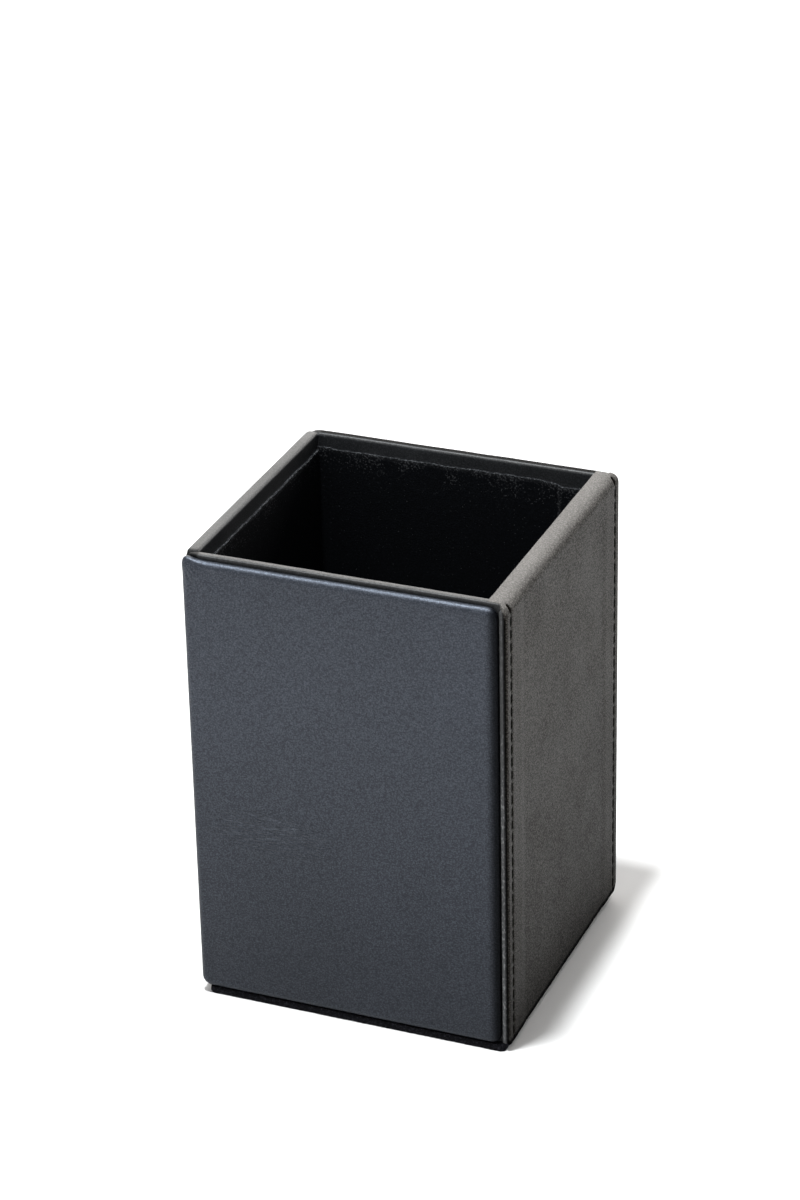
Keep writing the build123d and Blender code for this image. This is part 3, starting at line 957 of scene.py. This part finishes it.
def pulled_in(distance, run, angle, seam):
    """Depth of a seam's groove at a distance from the edge: deepest under the stitches."""
    last = 58
    groove = hump(distance, seam.margin, 0.5 * MM) * (1 - smooth_step(angle, last - 8, last + 4))
    groove = groove * smooth_step(run, 0.2 * MM, 1.2 * MM)
    first_hole = seam.start - seam.gap / 2
    place = (run - first_hole) / seam.pitch
    from_hole = np.abs(place - np.round(place)) * seam.pitch
    under_stitch = np.where(angle < last, smooth_step(from_hole, 0.1 * MM, 0.75 * MM), 0.6)
    return seam.groove_depth * groove * (0.5 + 0.5 * under_stitch)


def side_leather():
    """The outer leather: turned edges, pressed seams, roll over the rim and turned-in upper edge."""
    cup = bpy.context.scene.desk_cup
    seam, form = cup.seam, cup.form
    distance, wrap_end_at, board_end_at, back_half = side_distances(seam)
    outer, inner, run, angle = side_rows()
    over_body = outer[:, :1] < BACKING_INNER - HAIR

    # The columns by an upright edge are squeezed together where the side's corners are rounded.
    front_in, back_in = side_limits(outer[:, 1:])
    corner_in = np.minimum(np.where(back_half, back_in, front_in), 1.75 * MM)
    corner_in = np.where(over_body, 0.0, corner_in)
    reach = seam.margin - 0.45 * MM
    squeezed = corner_in + (reach - corner_in) * distance / reach
    shifted = np.where(distance < reach, squeezed, distance)
    y = np.where(back_half, SIDE_BACK - shifted, SIDE_FRONT + shifted)

    place = together(outer[:, :1], y, outer[:, 1:])
    flat = place.reshape(-1, 3)
    bead, fold = form.bead, 0.35 * MM
    depth = rounded_off(bead - distance, bead) * ~over_body
    depth = depth + rounded_off(fold - (distance - wrap_end_at), fold) * over_body
    depth = depth + pulled_in(distance, run[:, None], angle[:, None], seam)
    upright = 1 - smooth_step(angle, 20, 70)[:, None]
    past_flap = smooth_step(distance, 8.6 * MM, 11.6 * MM)
    depth = depth + form.flap_step * past_flap * upright
    soft = waves(flat, (10 * MM, 7 * MM, 46 * MM), 8).reshape(y.shape)
    fine = waves(flat, 4 * MM, 9).reshape(y.shape)
    loose = 0.05 * MM * (1 + soft) + 0.015 * MM * (1 + fine)
    depth = depth + loose * smooth_step(distance, 3 * MM, 6 * MM)
    tangent = np.gradient(outer, axis=0)
    tangent /= np.linalg.norm(tangent, axis=1)[:, None]
    outward = together(tangent[:, 1], 0.0, -tangent[:, 0])
    place = place - depth[..., None] * outward[:, None, :]

    # Over the body it starts where the wrap ends, and inside the cup where the board does.
    limit = np.where(over_body, wrap_end_at, 0.0)
    limit = np.where(outer[:, :1] < RIGHT_BOARD_LOW.x - HAIR, board_end_at, limit)
    inside = distance > limit - 10 * HAIR
    keep = inside[:-1, :-1] & inside[:-1, 1:] & inside[1:, :-1] & inside[1:, 1:]
    under = together(inner[:, :1], y, inner[:, 1:])
    points, faces = shell(place, under, grid_faces(*y.shape)[keep])
    return new_piece("side_leather", points, faces, sharp=math.radians(60))


def side_backing():
    """The thick leather behind it, whose cut front and back edges show."""
    foot = UNDERSIDE + np.array([0, 0.1, 0.3, 0.5]) * MM
    face = np.concatenate([foot, np.linspace(3 * MM, ROLL_Z, 300)])
    turns = quarter(19)[1:]
    turn = np.concatenate([np.zeros(len(face)), turns])[:, None]
    height = np.concatenate([face, np.full(len(turns), ROLL_Z)])[:, None]
    front_end, back_end = BODY_FRONT + WRAP_THICKNESS, BODY_BACK - WRAP_THICKNESS
    near = np.array([0.0, 0.25, 0.6, 1.0]) * MM
    step = 0.02 * MM
    steps = [front_end - step, front_end, back_end, back_end + step]
    across = np.concatenate([SIDE_FRONT + near, steps, SIDE_BACK - near[::-1]])
    thick = np.linspace(0, 1, 7)
    loop = [(0.0, y) for y in across] + [(share, across[-1]) for share in thick[1:-1]]
    loop += [(1.0, y) for y in across[::-1]] + [(share, across[0]) for share in thick[-2:0:-1]]
    share, along = np.array(loop).T
    radius = (RIGHT - SIDE_THICKNESS - ROLL_X) - BACKING_THICKNESS * share
    x = ROLL_X + radius * np.cos(turn)
    z = height + radius * np.sin(turn)
    front_in, back_in = side_limits(z)
    # Near the top of the roll it fits between the wrap's two ends.
    rolled = turn > math.radians(52)
    least = np.where(rolled, front_end, SIDE_FRONT + front_in)
    most = np.where(rolled, back_end, SIDE_BACK - back_in)
    y = np.minimum(np.maximum(along, least), most)
    outside = (y < front_end - HAIR) | (y > back_end + HAIR)
    x = np.where(outside, np.maximum(x, BACKING_INNER), x)

    # The two cut edges are rough, and fullest in the middle of their thickness.
    places = together(x, y, z)
    flat = places.reshape(-1, 3)
    rough = waves(flat, (0.5 * MM, 1.0, 0.9 * MM), 10) + 0.6 * waves(flat, (1.5 * MM, 1.0, 4.0 * MM), 11)
    hollow = 0.12 * MM * (1 - np.sin(np.pi * share)) + 0.10 * MM
    push = 0.10 * MM * rough.reshape(x.shape) - hollow
    at_end = (along < SIDE_FRONT + 0.1 * MM) | (along > SIDE_BACK - 0.1 * MM)
    push = push * at_end * np.where(turn > 0, 0.4, 1.0)
    places[..., 1] += np.where(along < 0, -1.0, 1.0) * push
    return new_piece("side_backing", places.reshape(-1, 3), tube_faces(*x.shape))


# --- Seams ------------------------------------------------------------------------------------


def stitch_mesh(length, width):
    """One stitch of two-ply thread along Z, its ends dipping towards -X."""
    rings, sides = 15, 10
    flatness = 0.66
    points = []
    for share in np.linspace(0, 1, rings):
        from_middle = abs(2 * share - 1)
        z = (share - 0.5) * (length + 0.3 * MM)
        dip = 0.50 * MM * from_middle**4
        slim = 1 - 0.45 * from_middle**6
        for angle in np.linspace(0, 2 * math.pi, sides, endpoint=False):
            ply = 1 + 0.14 * math.cos(2 * (angle - 2.6 * math.pi * share))
            radius = 0.5 * width * slim * ply
            points.append((flatness * radius * math.cos(angle) - dip, radius * math.sin(angle), z))
    return points, tube_faces(rings, sides)


def stitch_tree():
    """Geometry Nodes tree that lays stitches up a straight line and bends the last over the roll."""
    tree = bpy.data.node_groups.new("Seam stitches", "GeometryNodeTree")
    tree.is_modifier = True
    for name, kind in (
        ("Seam", "Geometry"),
        ("Stitch", "Object"),
        ("Stitch count", "Int"),
        ("Pitch", "Float"),
        ("First middle", "Vector"),
        ("Tilt", "Float"),
        ("Seed", "Int"),
        ("Roll centre X", "Float"),
        ("Roll centre Z", "Float"),
        ("Roll radius", "Float"),
        ("Thread", "Material"),
    ):
        tree.interface.new_socket(name, in_out="INPUT", socket_type="NodeSocket" + kind)
    tree.interface.new_socket("Stitches", in_out="OUTPUT", socket_type="NodeSocketGeometry")
    seam = Nodes(tree)
    given = seam.add("NodeGroupInput").outputs

    def made(kind, output, values, **options):
        """One output of a new node."""
        return seam.add(kind, values, **options).outputs[output]

    # A row of stitches, each turned a little.
    step = made("ShaderNodeCombineXYZ", 0, {"Z": given["Pitch"]})
    start = {"Count": given["Stitch count"], "Start Location": given["First middle"], "Offset": step}
    line = made("GeometryNodeMeshLine", "Mesh", start)
    stitch = made("GeometryNodeObjectInfo", "Geometry", {"Object": given["Stitch"]})
    limits = {2: seam.times(given["Tilt"], -1.0), 3: given["Tilt"], "Seed": given["Seed"]}
    turn = made("FunctionNodeRandomValue", 1, limits, data_type="FLOAT")
    about_x = {"Axis": (1.0, 0.0, 0.0), "Angle": turn}
    tilted = made("FunctionNodeAxisAngleToRotation", "Rotation", about_x)
    row = {"Points": line, "Instance": stitch, "Rotation": tilted}
    laid = made("GeometryNodeInstanceOnPoints", "Instances", row)
    real = made("GeometryNodeRealizeInstances", "Geometry", {"Geometry": laid})

    # What lies above the roll's centre is bent round it.
    x, y, z = seam.split(made("GeometryNodeInputPosition", 0, {}))
    over = seam.math("MAXIMUM", seam.math("SUBTRACT", z, given["Roll centre Z"]), 0.0)
    angle = seam.math("DIVIDE", over, given["Roll radius"])
    reach = seam.math("SUBTRACT", x, given["Roll centre X"])
    out = seam.times(reach, seam.math("COSINE", angle))
    rise = seam.times(reach, seam.math("SINE", angle))
    place = {
        "X": seam.math("ADD", given["Roll centre X"], out),
        "Y": y,
        "Z": seam.math("ADD", seam.math("SUBTRACT", z, over), rise),
    }
    bent = made("ShaderNodeCombineXYZ", 0, place)
    moved = made("GeometryNodeSetPosition", "Geometry", {"Geometry": real, "Position": bent})
    thread = {"Geometry": moved, "Material": given["Thread"]}
    dressed = made("GeometryNodeSetMaterial", "Geometry", thread)
    seam.add("NodeGroupOutput", {"Stitches": dressed})
    return tree


def run_tree(name, tree, values):
    """A new object that holds a tree's result as a plain mesh."""
    piece = bpy.data.objects.new(name, bpy.data.meshes.new(name))
    bpy.context.scene.collection.objects.link(piece)
    modifier = piece.modifiers.new("Stitches", "NODES")
    modifier.node_group = tree
    sockets = {s.name: s.identifier for s in tree.interface.items_tree if s.in_out == "INPUT"}
    for key, value in values.items():
        modifier[sockets[key]] = value
    bpy.context.view_layer.update()
    graph = bpy.context.evaluated_depsgraph_get()
    result = bpy.data.meshes.new_from_object(piece.evaluated_get(graph))
    piece.modifiers.remove(modifier)
    piece.data = result
    return piece


# --- Lining and felt --------------------------------------------------------------------------


def lining_card(name, path, wall_side, low, high, dip=0.0, dip_from=None, raw_end=0.0):
    """A lining card that follows a path in plan. wall_side holds the path of its back.

    raw_end is how pale and torn the upright edge at the path's end is.
    """
    torn = bpy.context.scene.desk_cup.lining.raggedness
    path, wall_side = np.array(path), np.array(wall_side)
    lengths = np.concatenate([[0], np.cumsum(np.linalg.norm(np.diff(path, axis=0), axis=1))])
    even = np.linspace(0, lengths[-1], int(lengths[-1] / (0.35 * MM)))
    steps = np.unique(np.concatenate([even, lengths]))
    face, rear = (
        together(np.interp(steps, lengths, line[:, 0]), np.interp(steps, lengths, line[:, 1]))
        for line in (path, wall_side)
    )
    places = together(face[:, 0], face[:, 1], high)
    ragged = torn * (waves(places, 0.7 * MM, 12) + 1.2 * waves(places, 3.5 * MM, 13))
    edge = high - torn + ragged - 0.15 * MM * waves(places, 14 * MM, 14)
    if dip_from is not None:
        edge = edge - dip * smooth_step(face[:, 0], dip_from, dip_from + 9 * MM)
    shares = np.concatenate([np.linspace(0, 0.9, 14), [0.94, 0.965, 0.98, 0.99, 0.996, 1.0]])[:, None]
    z = low + shares * (edge - low)
    front = together(face[:, 0], face[:, 1], z)
    back = together(rear[:, 0], rear[:, 1], z)
    inward = (face - rear) / np.linalg.norm(face - rear, axis=1)[:, None]
    flat = front.reshape(-1, 3)
    frayed = 0.10 * MM * waves(flat, 0.5 * MM, 16).reshape(z.shape)
    swell = 0.08 * MM * (waves(flat, 17 * MM, 15).reshape(z.shape) - 1)
    swell = swell + frayed * smooth_step(shares, 0.985, 1.0)
    front[..., :2] += swell[..., None] * inward
    piece = new_piece(name, *shell(front, back, grid_faces(*z.shape)))
    raw = 1 - smooth_step((edge - low) * (1 - shares), 0.1 * MM, 0.8 * MM)
    upright = raw_end * (1 - smooth_step(lengths[-1] - steps, 0.3 * MM, 0.9 * MM))
    return mark_raw(piece, np.append(np.maximum(raw, upright), np.ones(z.size)))


def lining_floor():
    """The card on the cup's floor, with a soft surface."""
    low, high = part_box("lining_floor")
    count = 60
    x, y = np.meshgrid(np.linspace(low.x, high.x, count), np.linspace(low.y, high.y, count))
    upper = together(x, y, high.z)
    upper[..., 2] -= 0.05 * MM * (1 + waves(upper.reshape(-1, 3), 12 * MM, 17).reshape(x.shape))
    points, faces = shell(upper, together(x, y, low.z), grid_faces(count, count))
    return mark_raw(new_piece("lining_floor_card", points, faces), np.zeros(len(points)))


def felt_pad():
    """The felt: a slab with matted edges, which swells out a little on the right."""
    low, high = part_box("base_felt")
    outline, normal = rounded_outline(high.x - low.x, high.y - low.y, 1.2 * MM, 200, 200)
    rings = []
    for share in np.linspace(0, 1, 7):
        z = low.z + share * (high.z - low.z)
        places = together(low.x + outline[:, 0], low.y + outline[:, 1], z)
        matted = 0.12 * MM * (waves(places, 0.6 * MM, 18) - 1)
        matted += 0.06 * MM * (waves(places, 2.5 * MM, 19) - 1)
        rounding = 0.15 * MM * (2 * share - 1) ** 4
        places[:, :2] += normal * (matted - rounding)[:, None]
        places[:, 0] += 0.4 * MM * np.clip(normal[:, 0], 0, 1) ** 2
        rings.append(places)
    return new_piece("felt_pad", np.vstack(rings), tube_faces(len(rings), len(outline)))


# --- Operators --------------------------------------------------------------------------------


class DESKCUP_OT_stage(bpy.types.Operator):
    """Set up the camera, the lamps, the graded sky and the plain floor"""

    bl_idname = "desk_cup.stage"
    bl_label = "Stage"

    def execute(self, context):
        stage = context.scene.desk_cup.stage
        self.camera(context, stage)
        self.floor(context, stage)
        self.sky(context, stage)
        for name, power, place, size, colour in (
            ("overhead", stage.key_power, (-0.045, -0.13, 1.25), (0.08, 0.10), (0.97, 0.99, 1.0)),
            ("back", stage.back_power, (-0.10, 1.25, 0.62), (2.2, 0.7), (1.0, 0.97, 0.93)),
            ("strip", stage.strip_power, (-0.44, -0.12, 1.22), (0.5, 0.4), (0.86, 0.94, 1.0)),
        ):
            lamp = self.lamp(context, name, power, place, size, colour)
            lamp.visible_diffuse = name != "strip"
        context.scene.view_settings.view_transform = "Standard"
        return {"FINISHED"}

    def camera(self, context, stage):
        """A long lens, placed as the one that took the photograph."""
        data = bpy.data.cameras.new("camera")
        data.lens = stage.lens
        data.sensor_width = 36.0
        data.clip_start = 0.01
        data.clip_end = 50.0
        around, above, roll = stage.azimuth, stage.elevation, stage.roll
        level = Vector((math.cos(around), math.sin(around), 0.0))
        out = math.cos(above)
        toward = Vector((math.sin(around) * out, -math.cos(around) * out, math.sin(above)))
        upright = toward.cross(level)
        across = math.cos(roll) * level + math.sin(roll) * upright
        up = math.cos(roll) * upright - math.sin(roll) * level
        turned = Matrix((across, up, toward)).transposed().to_4x4()
        place = Vector(stage.target) + stage.distance * toward
        camera = bpy.data.objects.new("camera", data)
        camera.matrix_world = Matrix.Translation(place) @ turned
        context.scene.collection.objects.link(camera)
        context.scene.camera = camera

    def floor(self, context, stage):
        """A plain pale floor that fills the view."""
        size = 4.0
        mesh = bpy.data.meshes.new("floor")
        corners = [(-size, -size, 0.0), (size, -size, 0.0), (size, size, 0.0), (-size, size, 0.0)]
        mesh.from_pydata(corners, [], [(0, 1, 2, 3)])
        floor = bpy.data.objects.new("floor", mesh)
        context.scene.collection.objects.link(floor)
        finish = Finish("plain_floor")
        colour = tuple(stage.floor_colour)
        base = finish.mix(finish.noise(60 * MM), colour, scaled(colour, 1.02))
        mesh.materials.append(finish.fill(Base_Color=base, Roughness=0.7, Specular_IOR_Level=0.2))

    def sky(self, context, stage):
        """Soft light from all round, brightest near the horizon and on the left."""
        world = bpy.data.worlds.new("studio")
        world.use_nodes = True
        sky = Nodes(world.node_tree)
        across, _, up = sky.split(sky.add("ShaderNodeTexCoord").outputs["Generated"])
        fade = sky.ramp(up, 0.25, 0.75, stage.low_sky, stage.high_sky)
        aside = sky.ramp(across, -0.1, 0.6, 1.0, stage.right_sky)
        background = next(node for node in sky.tree.nodes if node.type == "BACKGROUND")
        sky.put(background.inputs["Color"], (1.0, 1.0, 1.0))
        sky.put(background.inputs["Strength"], sky.times(fade, aside))
        context.scene.world = world

    def lamp(self, context, name, power, place, size, colour):
        """A new soft lamp, wide by high, aimed at the middle of the cup."""
        data = bpy.data.lights.new(name, "AREA")
        data.shape = "RECTANGLE"
        data.size, data.size_y = size
        data.energy = power
        data.color = colour
        lamp = bpy.data.objects.new(name, data)
        lamp.location = place
        aim = Vector((0.0, 0.0, 0.06)) - Vector(place)
        lamp.rotation_euler = aim.to_track_quat("-Z", "Y").to_euler()
        context.scene.collection.objects.link(lamp)
        return lamp


class DESKCUP_OT_panels(bpy.types.Operator):
    """Make the padded front and back panels' leather"""

    bl_idname = "desk_cup.panels"
    bl_label = "Padded panels"

    def execute(self, context):
        colour = tuple(context.scene.desk_cup.leather.panel_colour)
        cool = (0.77, 0.85, 1.0)
        looks = {"roughness": 0.51, "shine": 0.86, "grain": 0.60, "shade": panel_painted_shade}
        material = leather("panel_leather", colour, tint=cool, folds=True, **looks)
        front = padded_panel("front_panel", "front_panel_leather", -1, 0.45 * MM, front_relief)
        settle(front, material, "panel_leather", "front_panel_leather")
        # A duller copy of the panel leather, which reflects less as painted shade on the back panel's
        # top edge.
        looks = {"roughness": 0.55, "shine": 0.5, "grain": 0.42}
        material = leather("back_leather", colour, tint=cool, **looks)
        back = padded_panel("back_panel", "back_panel_leather", 1, 0.8 * MM, back_relief)
        settle(back, material, "panel_leather", "back_panel_leather")
        return {"FINISHED"}


class DESKCUP_OT_wrap(bpy.types.Operator):
    """Make the leather wrapped round the box and over its rim"""

    bl_idname = "desk_cup.wrap"
    bl_label = "Body wrap"

    def execute(self, context):
        colour = tuple(context.scene.desk_cup.leather.wrap_colour)
        looks = {"roughness": 0.46, "shine": 0.45, "tint": (1.0, 0.98, 0.95), "grain": 0.5}
        looks.update({"shade": wrap_painted_shade, "rubbed": slight_rim_wear})
        material = leather("wrap_leather", colour, **looks)
        settle(body_wrap(), material, "wrap_leather", "body_wrap_leather")
        return {"FINISHED"}


class DESKCUP_OT_side(bpy.types.Operator):
    """Make the sewn side's outer leather and its thick backing"""

    bl_idname = "desk_cup.side"
    bl_label = "Sewn side"

    def execute(self, context):
        colour = tuple(context.scene.desk_cup.leather.side_colour)
        looks = {"roughness": 0.58, "shine": 0.31, "tint": (1.0, 0.945, 0.87), "grain": 1.35}
        looks.update({"shade": side_painted_shade, "rubbed": rim_wear})
        material = leather("side_leather", colour, **looks)
        settle(side_leather(), material, "side_leather", "side_panel_leather")
        settle(side_backing(), cut_edge_finish(), "backing_leather", "side_panel_backing")
        return {"FINISHED"}


class DESKCUP_OT_seams(bpy.types.Operator):
    """Sew the two seams of the side with Geometry Nodes"""

    bl_idname = "desk_cup.seams"
    bl_label = "Seams"

    def execute(self, context):
        seam = context.scene.desk_cup.seam
        material = thread_finish()
        tree = stitch_tree()
        length = seam.pitch - seam.gap
        stitch = new_piece("stitch", *stitch_mesh(length, seam.thread_width))
        sunk = 0.24 * MM
        first = UNDERSIDE + seam.start + length / 2
        for name, node, y, seed in (
            ("front_seam", "front_seam_thread", SIDE_FRONT + seam.margin, seam.seed),
            ("back_seam", "back_seam_thread", SIDE_BACK - seam.margin, seam.seed + 1),
        ):
            values = {
                "Stitch": stitch,
                "Stitch count": seam.stitch_count,
                "Pitch": seam.pitch,
                "First middle": (RIGHT - sunk, y, first),
                "Tilt": seam.tilt,
                "Seed": seed,
                "Roll centre X": ROLL_X,
                "Roll centre Z": ROLL_Z,
                "Roll radius": ROLL_RADIUS - sunk,
                "Thread": material,
            }
            settle(run_tree(name, tree, values), material, "thread", node)
        bpy.data.objects.remove(stitch)
        return {"FINISHED"}


class DESKCUP_OT_lining(bpy.types.Operator):
    """Line the cup with black card"""

    bl_idname = "desk_cup.lining"
    bl_label = "Lining"

    def execute(self, context):
        dip = context.scene.desk_cup.lining.corner_dip
        material = lining_finish()
        for wall in ("front", "back", "left"):
            low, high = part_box("lining_" + wall)
            if wall == "back":
                high.x -= TURN_FURTHER
            sides = {
                "front": [(low.x, low.y), (high.x, low.y)],
                "back": [(low.x, high.y), (high.x, high.y)],
                "left": [(low.x, low.y), (low.x, high.y)],
                "right": [(high.x, low.y), (high.x, high.y)],
            }
            facing = {"front": "back", "back": "front", "left": "right"}[wall]
            dip_from = CUP_RIGHT - 14 * MM if wall == "back" else None
            name = f"lining_{wall}_card"
            card = lining_card(name, sides[facing], sides[wall], low.z, high.z, dip, dip_from)
            settle(card, material, "lining", "lining_" + wall)
        settle(self.corner_card(dip), material, "lining", "lining_right")
        settle(lining_floor(), material, "lining", "lining_floor")
        return {"FINISHED"}

    def corner_card(self, dip):
        """The right card, which turns the corner onto the back wall."""
        low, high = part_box("lining_right")
        low.x -= TURN_FURTHER
        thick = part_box("lining_left")[1].x - CUP_LEFT
        face = [(high.x - thick, low.y), (high.x - thick, high.y - thick), (low.x, high.y - thick)]
        rear = [(high.x, low.y), (high.x, high.y), (low.x, high.y)]
        return lining_card("lining_right_card", face, rear, low.z, high.z - dip, raw_end=1.0)


class DESKCUP_OT_felt(bpy.types.Operator):
    """Make the felt pad under the cup"""

    bl_idname = "desk_cup.felt"
    bl_label = "Felt pad"

    def execute(self, context):
        settle(felt_pad(), felt_finish(), "felt", "base_felt")
        return {"FINISHED"}


class DESKCUP_OT_boards(bpy.types.Operator):
    """Make the left board, and finish the boards and the padding that stay as the frame made them"""

    bl_idname = "desk_cup.boards"
    bl_label = "Boards and padding"

    def execute(self, context):
        board = board_finish("grey_board", (0.26, 0.24, 0.21), 0.5 * MM)
        settle(left_board(), board, "board", "core_left_board")
        padding = board_finish("padding", (0.6, 0.58, 0.52), 0.9 * MM)
        for name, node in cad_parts.items():
            if name != "core_left_board" and name.endswith(("_board", "_stiffener")):
                chosen = board
            elif name.endswith("_foam"):
                chosen = padding
            else:
                continue
            for place in node.material_slots:
                place.material = chosen
        return {"FINISHED"}


class DESKCUP_PT_panel(bpy.types.Panel):
    """Settings and steps of the desk cup"""

    bl_idname = "DESKCUP_PT_panel"
    bl_label = "Desk Cup"
    bl_space_type = "VIEW_3D"
    bl_region_type = "UI"
    bl_category = "Desk Cup"

    def draw(self, context):
        cup = context.scene.desk_cup
        for name in ("leather", "form", "seam", "lining", "stage"):
            box = self.layout.box()
            box.label(text=name.capitalize())
            group = getattr(cup, name)
            for key in group.__annotations__:
                box.prop(group, key)
        for operator in STEPS:
            self.layout.operator(operator.bl_idname)


STEPS = (
    DESKCUP_OT_stage,
    DESKCUP_OT_panels,
    DESKCUP_OT_wrap,
    DESKCUP_OT_side,
    DESKCUP_OT_seams,
    DESKCUP_OT_lining,
    DESKCUP_OT_felt,
    DESKCUP_OT_boards,
)
CLASSES = (
    CupLeatherSettings,
    CupFormSettings,
    CupSeamSettings,
    CupLiningSettings,
    CupStageSettings,
    DeskCupSettings,
    *STEPS,
    DESKCUP_PT_panel,
)


def register():
    """Registers the classes and the scene's settings."""
    for kind in CLASSES:
        bpy.utils.register_class(kind)
    bpy.types.Scene.desk_cup = PointerProperty(type=DeskCupSettings)


def unregister():
    """Takes them away again."""
    del bpy.types.Scene.desk_cup
    for kind in reversed(CLASSES):
        bpy.utils.unregister_class(kind)


def main():
    """Makes the whole scene."""
    register()
    for step in STEPS:
        group, name = step.bl_idname.split(".")
        getattr(getattr(bpy.ops, group), name)()


if __name__ == "__main__":
    main()
